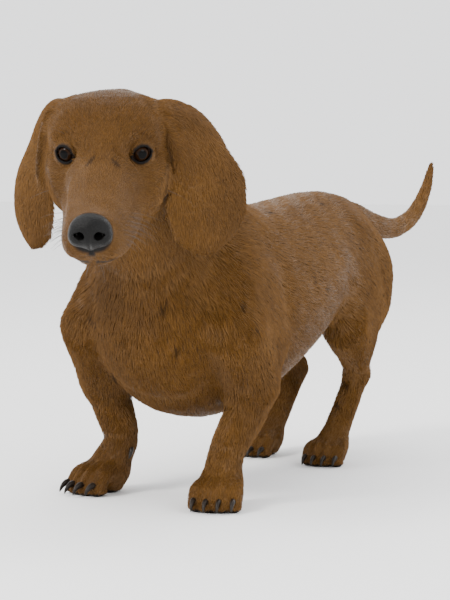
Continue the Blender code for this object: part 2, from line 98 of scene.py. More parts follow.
EYES = (centre_of("eye_left") + centre_of("eye_right")) / 2
SHIFT = EYES - TABLE_EYES * CM
HEAD = (
    Matrix.Translation(EYES)
    @ Matrix.Rotation(math.radians(HEAD_YAW), 4, "Z")
    @ Matrix.Rotation(math.radians(HEAD_PITCH), 4, "X")
    @ Matrix.Translation((0, -EYE_BACK * CM, 0))
)
BODY = Matrix.Translation((SHIFT.x, SHIFT.y, 0))
PAWS = {  # middle on the floor, turn in degrees, size
    "front_left": ((5.3, -17.2), 16, 1.0),
    "front_right": ((-6.6, -14.6), -18, 1.0),
    "hind_left": ((2.8, 8.2), 4, 0.92),
    "hind_right": ((-4.9, 10.6), -8, 0.92),
}
TOES = (-1.5, -0.5, 0.5, 1.5)
TOE_SPACING = 0.98
WRISTS = {1: (5.3, -16.0, 4.3), -1: (-5.6, -13.5, 4.4)}
KNEES = {1: (4.4, 8.0, 12.2), -1: (-5.3, 11.0, 11.8)}
HOCKS = {1: (3.5, 12.6, 7.6), -1: (-4.8, 17.2, 7.3)}
EAR_HINGE, EAR_SWING = (3.9, 3.7, 2.5), {1: -6.0, -1: 4.0}  # the left side's hinge; degrees outwards


def paw_frame(name):
    """The paw's frame on the floor, and its size."""
    (x, y), turn, size = PAWS[name]
    turned = Matrix.Rotation(math.radians(turn), 4, "Z")
    return BODY @ Matrix.Translation((x * CM, y * CM, 0)) @ turned, size


def ear_frame(side):
    """The head's frame with the ear's swing about its hinge."""
    hinge = Vector((EAR_HINGE[0] * side, *EAR_HINGE[1:])) * CM
    swing = Matrix.Rotation(math.radians(EAR_SWING[side] * side), 4, "Y")
    return HEAD @ Matrix.Translation(hinge) @ swing @ Matrix.Translation(-hinge)


# --- Camera, lights and floor ---
CAMERA_PLACE = Vector((0.7597, -1.5095, 0.2543))
CAMERA_ROUND, CAMERA_UP = 27.7, 3.6  # degrees round to the dog's left, and up
LENS, SENSOR = 120, 36  # millimetres
LIGHTS = (  # name, place, target, size, watts, colour
    ("key", (-0.9, -2.0, 2.0), (0, -0.1, 0.15), 0.9, 66, (1.0, 0.98, 0.95)),
    ("fill", (2.4, -1.2, 1.1), (0, 0, 0.15), 1.4, 26, (0.97, 0.98, 1.0)),
    ("rim", (0.6, 2.2, 1.7), (0, 0, 0.15), 1.2, 12, (1, 1, 1)),
    ("top", (0.0, 0.0, 2.6), (0, 0, 0), 2.0, 22, (1, 1, 1)),
)
WORLD_COLOUR, WORLD_STRENGTH = (0.985, 0.99, 1.0), 2.0
FLOOR_COLOUR, FLOOR_HALF = (0.90, 0.90, 0.895), 14


def add_camera():
    turn, rise = math.radians(CAMERA_ROUND), math.radians(CAMERA_UP)
    back = Vector((math.sin(turn) * math.cos(rise), -math.cos(turn) * math.cos(rise), math.sin(rise)))
    camera = bpy.data.cameras.new("camera")
    camera.lens, camera.sensor_width = LENS, SENSOR
    obj = link("camera", camera)
    obj.location = CAMERA_PLACE + Vector((SHIFT.x, SHIFT.y, 0))
    obj.rotation_euler = back.to_track_quat("Z", "Y").to_euler()
    bpy.context.scene.camera = obj


def add_light(name, place, target, size, watts, colour):
    light = bpy.data.lights.new(name, "AREA")
    light.shape, light.size, light.energy, light.color = "DISK", size, watts, colour
    obj = link(name, light)
    obj.location = place
    obj.rotation_euler = (Vector(place) - Vector(target)).to_track_quat("Z", "Y").to_euler()


def add_stage():
    for light in LIGHTS:
        add_light(*light)
    world = bpy.data.worlds.new("studio")
    world.use_nodes = True
    set_inputs(
        world.node_tree.nodes["Background"], {"Color": (*WORLD_COLOUR, 1), "Strength": WORLD_STRENGTH}
    )
    bpy.context.scene.world = world
    made = bmesh.new()
    bmesh.ops.create_grid(made, x_segments=4, y_segments=4, size=FLOOR_HALF)
    mesh = bpy.data.meshes.new("floor")
    made.to_mesh(mesh)
    made.free()
    floor = link("floor", mesh)
    shader, tree = new_material("floor_paint", [floor], Base_Color=(*FLOOR_COLOUR, 1), Roughness=0.7)
    add_bump(tree, shader, add_noise(tree, Scale=60.0, Detail=3.0), 0.05, 0.002)


# --- Small helpers ---
def link(name, data):
    """A new object in the scene that shows a mesh, a light or a camera."""
    obj = bpy.data.objects.new(name, data)
    bpy.context.scene.collection.objects.link(obj)
    return obj


def mesh_object(name, points, faces, smooth=True):
    """A mesh object from arrays; every face has the same number of corners."""
    faces = np.ascontiguousarray(faces, np.int32)
    count, corners = faces.shape
    mesh = bpy.data.meshes.new(name)
    mesh.vertices.add(len(points))
    mesh.vertices.foreach_set("co", np.ascontiguousarray(points, np.float32).ravel())
    mesh.loops.add(count * corners)
    mesh.loops.foreach_set("vertex_index", faces.ravel())
    mesh.polygons.add(count)
    mesh.polygons.foreach_set("loop_start", np.arange(0, count * corners, corners, dtype=np.int32))
    mesh.update(calc_edges=True)
    mesh.validate()
    if smooth:
        mesh.shade_smooth()
    else:
        mesh.shade_flat()
    return link(name, mesh)


def add_attribute(obj, name, values):
    layer = obj.data.attributes.new(name, "FLOAT", "POINT")
    layer.data.foreach_set("value", np.ascontiguousarray(values, np.float32))


def set_inputs(node, values):
    for name, value in values.items():
        node.inputs[name.replace("_", " ")].default_value = value


def new_material(name, objects, **values):
    """Gives objects a new material with constant values; returns its shader and node tree."""
    made = bpy.data.materials.new(name)
    made.use_nodes = True
    for obj in objects:
        obj.data.materials.clear()
        obj.data.materials.append(made)
    shader = made.node_tree.nodes["Principled BSDF"]
    set_inputs(shader, values)
    return shader, made.node_tree


def add_node(tree, kind, **values):
    node = tree.nodes.new(kind)
    set_inputs(node, values)
    return node


def add_position(tree):
    return add_node(tree, "ShaderNodeNewGeometry").outputs["Position"]


def read_attribute(tree, name):
    node = add_node(tree, "ShaderNodeAttribute")
    node.attribute_name = name
    return node.outputs["Fac"]


def add_noise(tree, vector=None, **values):
    noise = add_node(tree, "ShaderNodeTexNoise", **values)
    if vector is not None:
        tree.links.new(vector, noise.inputs["Vector"])
    return noise.outputs["Fac"]


def add_ramp(tree, value, *stops):
    """The colour at a value, from (value, colour) stops."""
    ramp = add_node(tree, "ShaderNodeValToRGB")
    elements = ramp.color_ramp.elements
    while len(elements) < len(stops):
        elements.new(0.5)
    for element, (place, colour) in zip(elements, stops):
        element.position, element.color = place, (*colour, 1)
    tree.links.new(value, ramp.inputs["Fac"])
    return ramp.outputs["Color"]


def add_range(tree, value, **limits):
    node = add_node(tree, "ShaderNodeMapRange", **limits)
    tree.links.new(value, node.inputs["Value"])
    return node.outputs["Result"]


def add_scale(tree, colour, factor):
    """A colour times a factor."""
    node = add_node(tree, "ShaderNodeVectorMath")
    node.operation = "SCALE"
    tree.links.new(colour, node.inputs[0])
    tree.links.new(factor, node.inputs["Scale"])
    return node.outputs["Vector"]


def add_bump(tree, shader, height, strength, distance):
    bump = add_node(tree, "ShaderNodeBump", Strength=strength, Distance=distance)
    tree.links.new(height, bump.inputs["Height"])
    tree.links.new(bump.outputs["Normal"], shader.inputs["Normal"])
    return bump


def arrays_of(obj):
    """A mesh object's points and triangles."""
    mesh = obj.data
    mesh.calc_loop_triangles()
    points = np.empty(len(mesh.vertices) * 3, np.float32)
    mesh.vertices.foreach_get("co", points)
    faces = np.empty(len(mesh.loop_triangles) * 3, np.int32)
    mesh.loop_triangles.foreach_get("vertices", faces)
    return points.reshape(-1, 3), faces.reshape(-1, 3)


def mirrored(points, side):
    """Points of the left side, on either side."""
    return [(x * side, y, z) for x, y, z in points]


def smoothstep(low, high, x):
    t = np.clip((x - low) / (high - low), 0, 1)
    return t * t * (3 - 2 * t)


def smooth_curve(rows, steps):
    """Rows of numbers read at finer steps along a Catmull-Rom curve through them."""
    rows = np.array(rows, float)
    padded = np.vstack([2 * rows[0] - rows[1], rows, 2 * rows[-1] - rows[-2]])
    found = []
    for i in range(1, len(rows)):
        a, b, c, d = padded[i - 1 : i + 3]
        square, cube = 2 * a - 5 * b + 4 * c - d, 3 * b - a - 3 * c + d
        for t in np.linspace(0, 1, steps, endpoint=False):
            found.append(0.5 * (2 * b + (c - a) * t + square * t**2 + cube * t**3))
    return np.array(found + [rows[-1]])


# --- Clay: a distance field on a grid, negative inside ---
EMPTY = 3 * CM  # the distance far from any surface
CAP = 0.8  # the length of a sweep's round end, by its radius


class Clay:
    """A block of clay in the frame's metres: each shape is joined, cut or pressed into its field."""

    def __init__(self, low, high, voxel):
        self.voxel = voxel
        self.first = np.floor(np.array(low) / voxel).astype(int)
        self.low = self.first * voxel
        shape = np.ceil((np.array(high) - self.low) / voxel).astype(int) + 1
        self.field = np.full(shape, EMPTY, np.float32)

    def block(self, low, high):
        """The block of the grid round a box: its slices and its points."""
        first = np.floor((np.array(low) - self.low) / self.voxel).astype(int)
        last = np.ceil((np.array(high) - self.low) / self.voxel).astype(int) + 1
        first, last = (np.clip(end, 0, self.field.shape) for end in (first, last))
        axes = [self.low[i] + self.voxel * np.arange(first[i], last[i]) for i in range(3)]
        axes = [axis.astype(np.float32) for axis in axes]
        return tuple(map(slice, first, last)), np.stack(np.meshgrid(*axes, indexing="ij"), -1)

    def add_mesh(self, points, faces, width=3):
        """Joins a closed mesh to the clay."""
        transform = openvdb.createLinearTransform(self.voxel)
        grid = openvdb.FloatGrid.createLevelSetFromPolygons(
            points, triangles=faces.astype(np.uint32), transform=transform, halfWidth=width
        )
        reach = (width + 1) * self.voxel
        where, _ = self.block(points.min(0) - reach, points.max(0) + reach)
        found = np.empty(self.field[where].shape, np.float32)
        grid.copyToArray(found, ijk=tuple(int(f + s.start) for f, s in zip(self.first, where)))
        self.field[where] = np.minimum(self.field[where], found)

    def surface(self, level=0.0):
        """The points and four-sided faces of the surface at a level of the field."""
        grid = openvdb.FloatGrid(background=float(self.field.max()))
        grid.copyFromArray(self.field)
        points, quads = grid.convertToQuads(isovalue=level)
        return (points * self.voxel + self.low).astype(np.float32), quads[:, ::-1]

    def blur(self, times):
        for _ in range(times):
            for axis in range(3):
                view = np.moveaxis(self.field, axis, 0)
                view[1:-1] = (view[:-2] + 2 * view[1:-1] + view[2:]) / 4

    def blend(self, where, shape, width, sign=1):
        """Joins a shape to a block of clay over a rounded seam, or cuts it out where the sign is -1."""
        here = self.field[where] * sign
        share = np.clip(0.5 + 0.5 * (here - shape) / width, 0, 1)
        self.field[where] = sign * (here * (1 - share) + shape * share - width * share * (1 - share))

    def sweep(self, stations, place, blend, side=1, sign=1):
        """A round limb through stations of (centre, radius) in centimetres."""
        line = mirrored([centre for centre, _ in stations], side)
        rows = smooth_curve([[*centre, radius] for centre, (_, radius) in zip(line, stations)], 4)
        centres = np.array([place @ Vector(row[:3] * CM) for row in rows])
        radii = rows[:, 3] * CM
        beside = np.array(place.to_3x3() @ Vector((1, 0, 0)))
        reach = radii.max() + (blend + 0.2) * CM
        where, points = self.block(centres.min(0) - reach, centres.max(0) + reach)
        nearest = np.full(points.shape[:3], 0.05, np.float32)
        for start, end, radius, radius_end in zip(centres, centres[1:], radii, radii[1:]):
            length = np.linalg.norm(end - start)
            along = (end - start) / length
            across = beside - (beside @ along) * along
            across /= np.linalg.norm(across)
            offset = points - start
            t = np.clip(offset @ along / length, 0, 1)
            past = offset @ along - t * length
            wide = radius + (radius_end - radius) * t
            section = (offset @ across / wide) ** 2 + (offset @ np.cross(along, across) / wide) ** 2
            nearest = np.minimum(nearest, (np.sqrt(section + (past / (CAP * wide)) ** 2) - 1) * wide)
        self.blend(where, nearest, blend * CM, sign)

    def lump(self, centre, radii, place, turn=0.0, blend=0.3):
        """An ellipsoid in centimetres, turned about X by an angle in degrees."""
        turned = Matrix.Rotation(math.radians(turn), 4, "X")
        place = place @ Matrix.Translation(Vector(centre) * CM) @ turned
        middle = np.array(place.translation)
        radii = np.array(radii) * CM
        reach = radii.max() + (blend + 0.2) * CM
        where, points = self.block(middle - reach, middle + reach)
        local = (points - middle) @ np.array(place.to_3x3())
        near = np.linalg.norm(local / radii, axis=-1)
        slope = np.maximum(np.linalg.norm(local / radii**2, axis=-1), 1e-6)
        self.blend(where, near * (near - 1) / slope, blend * CM)

    def sample(self, points):
        """The field at points, and its gradient."""
        spots = (np.asarray(points) - self.low) / self.voxel
        cells = np.clip(np.floor(spots).astype(int), 1, np.array(self.field.shape) - 3)
        part = spots - cells
        value, slope = np.zeros(len(spots)), np.zeros((len(spots), 3))
        for corner in np.ndindex(2, 2, 2):
            i, j, k = (cells + corner).T
            weight = np.prod(np.where(corner, part, 1 - part), axis=1)
            value += weight * self.field[i, j, k]
            slope[:, 0] += weight * (self.field[i + 1, j, k] - self.field[i - 1, j, k])
            slope[:, 1] += weight * (self.field[i, j + 1, k] - self.field[i, j - 1, k])
            slope[:, 2] += weight * (self.field[i, j, k + 1] - self.field[i, j, k - 1])
        return value, slope / (2 * self.voxel)

    def settle(self, points, rounds=6):
        """Moves points onto the surface."""
        points = np.array(points, float)
        for _ in range(rounds):
            value, slope = self.sample(points)
            points -= (value / np.maximum((slope**2).sum(1), 0.05))[:, None] * slope
        return points

    def stroke(self, points, depth, width, place=BODY, side=1, fade=0.25):
        """A groove along a line on the surface, or a ridge where the depth is negative.

        The points are in centimetres near the surface, and the depth and width in millimetres.
        The stroke fades out at both ends.
        """
        line = smooth_curve(mirrored(points, side), 8)
        line = self.settle([place @ Vector(p * CM) for p in line])
        width, depth = width * MM, depth * MM
        reach = 3 * width
        where, spots = self.block(line.min(0) - reach, line.max(0) + reach)
        gain = np.zeros(spots.shape[:3], np.float32)
        share = np.linspace(0, 1, len(line))
        strength = smoothstep(0, fade, share) * smoothstep(0, fade, 1 - share)
        for i, (start, end) in enumerate(zip(line, line[1:])):
            across = end - start
            t = np.clip((spots - start) @ across / max(across @ across, 1e-12), 0, 1)
            gap = ((spots - start - t[..., None] * across) ** 2).sum(-1)
            level = strength[i] + (strength[i + 1] - strength[i]) * t
            gain = np.maximum(gain, np.exp(-gap / width**2) * level)
        self.field[where] += depth * gain


# --- The skin ---
HARD = ("claw", "eye", "nose")
FLESH = [name for name in frame["nodes"] if not any(word in name for word in HARD)]
VOXEL, MARGIN = 1.1 * MM, 0.006
SWELL, BAND, BLURS = 0.35 * MM, 7, 5  # the swell closes the cuts; voxels beside the surface; rounds
EAR_FUR = 0.9 * MM  # the coat's depth on the ears
EAR_EDGE = 1.4 * MM  # the skin this near to an ear's surface is the ear's
EAR_GAP = 3.5 * MM  # between an ear's lobe and the neck
SKIN_TRIANGLES = 190000
# The ears by side, in the left one's coordinates: centre, half width, half thickness, and the
# turn of the back edge outwards in degrees.
EARS = {
    1: (
        ((2.6, 3.5, 2.0), 1.3, 0.50, 0),
        ((3.9, 3.7, 2.5), 1.9, 0.45, 8),
        ((5.3, 3.9, 1.6), 2.4, 0.40, 24),
        ((6.35, 3.9, -0.6), 3.0, 0.37, 38),
        ((6.65, 3.6, -3.2), 3.6, 0.35, 52),
        ((6.35, 3.2, -5.8), 3.5, 0.34, 58),
        ((6.1, 3.0, -7.7), 2.5, 0.32, 58),
        ((6.0, 2.9, -8.8), 0.8, 0.26, 58),
    ),
    -1: (
        ((2.6, 3.5, 2.0), 1.3, 0.50, 0),
        ((3.6, 3.7, 2.5), 1.8, 0.45, 6),
        ((4.65, 4.1, 1.6), 2.4, 0.40, 14),
        ((5.6, 4.4, -0.6), 2.9, 0.37, 22),
        ((6.4, 4.4, -3.2), 3.3, 0.35, 32),
        ((6.7, 4.1, -5.6), 3.0, 0.34, 38),
        ((6.6, 3.8, -7.3), 2.1, 0.32, 40),
        ((6.55, 3.6, -8.2), 0.7, 0.26, 40),
    ),
}
EAR_CUP = 0.5


def loft(stations, place, sides, steps, cup=0.0):
    """The points and faces of a closed tube of elliptical rings, in metres.

    A station is (centre, half width, half thickness, turn). The width lies along X, turned about
    Z by the turn in degrees. The tube's edges bend off its middle by the cup.
    """
    rows = smooth_curve([[*c, *r] for c, *r in stations], steps)
    angles = 2 * math.pi * np.arange(sides) / sides
    points = []
    for i, row in enumerate(rows):
        along = Vector(rows[min(i + 1, len(rows) - 1)][:3] - rows[max(i - 1, 0)][:3]).normalized()
        turn = math.radians(row[5])
        side = Vector((math.cos(turn), math.sin(turn), 0))
        across = (side - side.dot(along) * along).normalized()
        face = along.cross(across)
        for angle in angles:
            u, v = math.cos(angle), math.sin(angle)
            spot = Vector(row[:3]) + across * (row[3] * u) + face * (row[4] * v + cup * u * u)
            points.append(place @ (spot * CM))
    points += [place @ (Vector(row[:3]) * CM) for row in (rows[0], rows[-1])]
    faces = []
    for ring in range(len(rows) - 1):
        for k in range(sides):
            a, b = ring * sides + k, ring * sides + (k + 1) % sides
            faces += [(a, b, b + sides), (a, b + sides, a + sides)]
    last = (len(rows) - 1) * sides
    for k in range(sides):
        faces.append((len(points) - 2, (k + 1) % sides, k))
        faces.append((len(points) - 1, last + k, last + (k + 1) % sides))
    return np.array(points, np.float32), np.array(faces)


def ear_mesh(side):
    centres = mirrored([centre for centre, *_ in EARS[side]], side)
    sizes = [(wide, thin, 90 - turn * side) for _, wide, thin, turn in EARS[side]]
    stations = [(centre, *size) for centre, size in zip(centres, sizes)]
    return loft(stations, ear_frame(side), sides=48, steps=10, cup=-EAR_CUP * side)


def cad_skin():
    """The outer surface of all the flesh, without the cuts, as one field."""
    low, high = np.array(CAD_BOX[0]) - MARGIN, np.array(CAD_BOX[1]) + MARGIN
    rough = Clay(low, high, VOXEL)
    for name in FLESH:
        if not name.startswith("ear"):
            rough.add_mesh(*arrays_of(bpy.data.objects[name]))
    for side in SIDES:
        rough.add_mesh(*ear_mesh(side))
    points, quads = rough.surface(SWELL)
    clay = Clay(low, high, VOXEL)
    transform = openvdb.createLinearTransform(clay.voxel)
    grid = openvdb.FloatGrid.createLevelSetFromPolygons(
        points, quads=quads.astype(np.uint32), transform=transform, halfWidth=BAND
    )
    grid.copyToArray(clay.field, ijk=tuple(int(v) for v in clay.first))
    clay.field += SWELL
    clay.blur(BLURS)
    return clay


def in_frame(points, place):
    """Points in a frame's own centimetres."""
    return (points - np.array(place.translation)) @ np.array(place.to_3x3()) / CM


def coat_depth(points):
    """How far the skin lies inside the coat's outer surface, in metres."""
    head = in_frame(points, HEAD)
    height = points[:, 2] / CM
    near_head = smoothstep(11.5, 8.0, np.linalg.norm(head - np.array((0, 2.0, -1.0)), axis=1))
    tail = smoothstep(20.0, 23.0, points[:, 1] / CM)
    muzzle = smoothstep(0.5, -3.0, head[:, 1]) * near_head
    depth = np.full(len(points), 2.2)
    depth += (1.5 - depth) * smoothstep(9.5, 6.0, height) * smoothstep(2.0, 3.5, np.abs(points[:, 0]) / CM)
    for millimetres, share in ((1.7, tail), (1.3, near_head), (0.8, muzzle)):
        depth += (millimetres - depth) * share
    nose = np.linalg.norm(head - np.array((0, -9.6, -2.65)), axis=1)
    depth *= smoothstep(1.5, 2.6, nose)
    for place in (paw_frame(name)[0] for name in PAWS):
        paw = np.linalg.norm(in_frame(points, place)[:, :2] * (1, 0.8), axis=1)
        depth += (0.9 - depth) * smoothstep(3.4, 2.4, paw) * smoothstep(4.5, 3.0, height)
    depth *= smoothstep(0.1, 0.7, height)
    return depth * MM


def shrink(clay):
    """Draws the surface in by the coat's depth; returns it with a field of the ears alone."""
    ears = Clay(clay.low, clay.low + (np.array(clay.field.shape) - 1) * clay.voxel, clay.voxel)
    for side in SIDES:
        ears.add_mesh(*ear_mesh(side), width=6)
    near = np.nonzero(np.abs(clay.field) < 5.5 * MM)
    points = np.stack(near, -1).astype(np.float32) * clay.voxel + clay.low
    depth = coat_depth(points.astype(np.float32))
    on_ear = smoothstep(4 * MM, 0.5 * MM, ears.field[near])
    depth += (EAR_FUR - depth) * on_ear
    clay.field[near] += depth.astype(np.float32)
    return clay, ears


def part_ears(clay, ears):
    """Leaves a narrow gap between the ears' hanging lobes and the neck."""
    near = np.nonzero(np.abs(ears.field) < 6 * MM)
    points = np.stack(near, -1).astype(np.float32) * clay.voxel + clay.low
    height = in_frame(points, HEAD)[:, 2]
    gap = EAR_GAP * smoothstep(-3.0, -4.5, height)
    cut = np.maximum(clay.field[near], gap - ears.field[near])
    lobe = np.minimum(cut, ears.field[near] + EAR_FUR)
    share = smoothstep(-1.0, -4.5, height)
    clay.field[near] += (share * (lobe - clay.field[near])).astype(np.float32)


# --- The eyelids, in the head's centimetres and in radians about the eyeball ---
LIDS_HALF, LIDS_TALL = 0.72, 0.50  # the opening's half width and half height
LID_OUT, LID_HALF = 0.10, 0.09  # the lid's middle outside the ball, and its half thickness


def eye_axes(side):
    """The eye's centre, and the directions to its outer side, up and out, in the head's frame."""
    turn = math.radians(EYE_TURN)
    out = Vector((side * math.sin(turn), -math.cos(turn), 0.06)).normalized()
    across = Vector((side * math.cos(turn), math.sin(turn), 0.10)).normalized()
    across = (across - across.dot(out) * out).normalized()
    up = out.cross(across) * (1 if side < 0 else -1)
    if up.z < 0:
        up = -up
    return Vector((side * EYE_SIDE, EYE_BACK, 0)), across, up, out


def opening_gap(across, up):
    """The signed angular distance from the almond opening between the lids, in radians."""
    t = np.clip(across / LIDS_HALF, -1, 1)
    tall = LIDS_TALL * np.sqrt(np.maximum(1 - t * t, 0)) ** 1.25
    beyond = np.maximum(np.abs(across) - LIDS_HALF, 0)
    middle = 0.06 * t
    gap = np.abs(up - middle) - tall
    return np.where(beyond > 0, np.hypot(beyond, np.maximum(gap, 0)), gap * 0.85)


def eye_angles(points, side):
    """Each point's distance from the eyeball's centre in centimetres, and its two angles off the axis."""
    centre, across, up, out = eye_axes(side)
    offset = in_frame(points, HEAD) - np.array(centre)
    away = np.linalg.norm(offset, axis=-1)
    a, u, o = offset @ np.array(across), offset @ np.array(up), offset @ np.array(out)
    behind = np.where(o > -0.2, 1, 9)  # sends points behind the ball far from the opening
    return away, np.arctan2(a, o), np.arctan2(u, np.maximum(np.hypot(a, o), 1e-6)) * behind


def sculpt_eyelids(clay, side):
    middle = np.array(HEAD @ (eye_axes(side)[0] * CM))
    where, points = clay.block(middle - 0.018, middle + 0.018)
    away, a, u = eye_angles(points.astype(np.float64), side)
    gap = opening_gap(a, u) * EYE_RADIUS
    # The lids: a shell over the ball outside the opening, with a rounded rim.
    shell = np.maximum(np.abs(away - (EYE_RADIUS + LID_OUT)) - LID_HALF, -gap + 0.02)
    rim = np.hypot(away - (EYE_RADIUS + 0.11), gap - 0.03) - 0.10
    lids = np.minimum(shell, rim) * CM
    lids = np.where(np.abs(a) < 1.25, lids, 0.02).astype(np.float32)
    clay.blend(where, lids, 0.22 * CM)
    # Nothing of the lids or the face lies inside the eyeball's own space, or before the opening.
    ball = (EYE_RADIUS + 0.015 - away) * CM
    clear = np.minimum((away - 2.2) * -1.0, -gap) * CM
    field = np.maximum(clay.field[where], ball.astype(np.float32))
    clay.field[where] = np.maximum(field, np.where(away < 1.5, clear, -1).astype(np.float32))


# --- The model's strokes, on the left side in centimetres; depths and widths in millimetres ---
LIP = (
    (0.02, -9.5, -4.75),
    (0.8, -9.3, -4.95),
    (1.55, -8.3, -5.2),
    (1.95, -6.3, -5.35),
    (2.2, -4.0, -5.2),
    (2.55, -1.8, -4.9),
    (2.9, 0.2, -4.4),
)
EAR_FOLD = (
    ((4.0, 2.9, 2.2), 0.40),
    ((4.45, 2.6, 0.9), 0.36),
    ((4.7, 2.65, -0.4), 0.34),
    ((4.85, 2.75, -1.5), 0.34),
    ((4.85, 2.75, -2.5), 0.32),
    ((4.7, 2.9, -3.3), 0.20),
)


def sculpt_head(clay):
    for side in SIDES:
        sculpt_eyelids(clay, side)
        clay.sweep(EAR_FOLD, HEAD, blend=0.35, side=side)
        stroke = partial(clay.stroke, side=side)
        stroke(LIP, 1.5, 1.3, HEAD, fade=0.12)
        stroke([(2.9, 0.1, -4.5), (3.2, 0.9, -4.1), (3.3, 1.3, -3.6)], 0.9, 1.6, HEAD)  # mouth's corner
        stroke([(0.55, -9.2, -1.9), (1.3, -8.9, -2.6), (1.3, -8.9, -3.3)], 0.5, 1.4, HEAD)  # round the nose
        stroke([(1.5, -0.3, 1.0), (2.3, -0.2, 1.35), (3.2, 0.3, 1.0)], 0.5, 1.3, HEAD)  # over the eye
        stroke([(0.6, -1.0, 0.35), (0.85, -1.4, -0.1), (1.1, -1.6, -0.5)], 1.2, 1.1, HEAD)  # brow
        stroke([(1.9, -1.1, -0.6), (2.6, -0.9, -1.5), (3.4, 0.2, -1.9)], 0.6, 2.6, HEAD)  # under the eye
        stroke([(3.6, 1.6, -3.4), (4.2, 3.8, -3.6), (3.9, 6.0, -3.6)], 0.8, 4.0, HEAD)  # behind the cheek
        ear = ear_frame(side)
        stroke([(3.2, 2.4, 2.6), (4.4, 2.2, 2.0), (5.0, 2.4, 0.6)], 1.0, 2.4, ear)
        stroke([(5.0, 3.0, 1.9), (6.0, 3.3, 0.0), (6.2, 3.4, -2.6)], 0.5, 3.5, ear)
        stroke([(4.6, 4.6, 2.5), (6.2, 5.2, 0.9), (7.0, 5.9, -1.8)], 0.5, 3.5, ear)
    clay.stroke([(0, -10.3, -3.6), (0, -9.9, -4.2), (0, -9.5, -4.8)], 1.0, 0.9, HEAD, fade=0.1)  # philtrum
    clay.stroke([(0, -2.0, 0.9), (0, 0.6, 2.6), (0, 3.4, 3.8), (0, 6.6, 3.4)], 0.9, 5.0, HEAD)  # forehead
    clay.stroke([(0, -8.4, -1.3), (0, -5.0, -0.6), (0, -2.2, 0.4)], 0.35, 4.5, HEAD)  # bridge of the nose


def sculpt_body(clay):
    for side in SIDES:
        stroke = partial(clay.stroke, side=side)
        # Before the shoulder, behind it, the spine of its blade, and the elbow.
        stroke([(3.4, -15.5, 21.5), (5.6, -17.4, 18.5), (6.8, -18.6, 14.0), (6.2, -18.4, 10.8)], 1.6, 9)
        stroke([(4.6, -9.0, 20.4), (6.4, -9.8, 16.0), (7.2, -10.2, 12.0)], 1.6, 9)
        stroke([(4.4, -12.4, 20.6), (5.9, -13.9, 17.4), (7.0, -15.6, 14.4)], -1.1, 5)
        stroke([(7.9, -13.6, 12.6), (7.6, -12.6, 10.6)], 1.0, 5)
        stroke([(5.0, -12.0, 8.0), (5.6, -10.8, 9.4), (6.4, -10.0, 11.2)], 1.2, 4)  # armpit
        # The folds of the throat.
        stroke([(3.4, -23.3, 22.0), (2.2, -22.4, 19.0), (1.2, -21.0, 16.5)], 0.9, 6)
        stroke([(4.4, -20.0, 25.0), (5.2, -18.2, 21.0), (5.0, -18.6, 18.0)], 0.8, 7)
        stroke([(5.4, 4.2, 17.5), (5.6, 6.0, 15.0), (5.0, 7.4, 13.2)], 1.6, 9)  # flank
        # The fold from belly to knee, the furrow of the thigh, and the point of the hip.
        stroke([(4.6, 8.2, 13.3), (5.0, 6.2, 12.6), (4.4, 4.0, 11.6)], -1.0, 4)
        stroke([(4.6, 12.6, 20.6), (5.2, 14.2, 17.0), (5.0, 15.6, 13.0)], 1.0, 6)
        stroke([(3.6, 10.4, 21.4), (4.4, 12.0, 20.6)], -1.2, 7)
        for rib in range(5):
            y = -7.5 + 2.2 * rib
            stroke([(6.2, y, 18.5), (7.2, y + 0.5, 15.0), (6.8, y + 0.2, 11.6)], 0.25, 5)
    # Along the spine, and along the breastbone.
    clay.stroke([(0, -13.0, 23.9), (0, -4.0, 23.2), (-0.3, 6.0, 23.3), (-0.6, 14.0, 23.2)], 0.6, 9)
    clay.stroke([(0, -19.5, 12.0), (0, -18.6, 8.6), (0, -15.5, 6.3), (0, -11.0, 6.0)], 0.9, 9)


def sculpt_legs(clay):
    for side in (1, -1):  # beside the tendon, down to the hock
        middle = [k * 0.45 + h * 0.55 for k, h in zip(KNEES[side], HOCKS[side])]
        for out in SIDES:
            tendon = [m + o for m, o in zip(middle, (out * 1.2, 0.9, 0.9))]
            low = [h + o for h, o in zip(HOCKS[side], (out * 1.0, -0.1, 0.3))]
            clay.stroke([tendon, low], 1.1, 3.0)
    for side in (1, -1):  # behind the wrist, and before it
        x, y, z = WRISTS[side]
        clay.stroke([(x - 1.2, y + 1.0, z), (x, y + 1.6, z - 0.2), (x + 1.2, y + 1.0, z)], 0.9, 2.4)
        clay.stroke([(x - 1.2, y - 0.9, z + 0.2), (x + 1.2, y - 0.9, z + 0.2)], 0.5, 2.6)


def toe_back(toe, size):
    """How far the outer toes lie behind the middle ones."""
    return 0.36 * (abs(toe) - 0.5) * size


def sculpt_paws(clay):
    for name in PAWS:
        place, size = paw_frame(name)
        for toe in (-1, 0, 1):  # the grooves between the toes
            x = toe * TOE_SPACING * size
            groove = [(x * 0.7, -0.5 * size, 2.75 * size)]
            groove += [(x, y * size, z * size) for y, z in ((-1.6, 2.35), (-2.45, 1.5), (-2.6, 0.7))]
            clay.stroke(groove, 3.0, 1.7, place, fade=0.3)
        for toe in TOES:  # the pads
            middle = (toe * TOE_SPACING * size, toe_back(toe, size) - 2.15 * size, 0.38 * size)
            clay.lump(middle, (0.52 * size, 0.72 * size, 0.42 * size), place, blend=0.08)


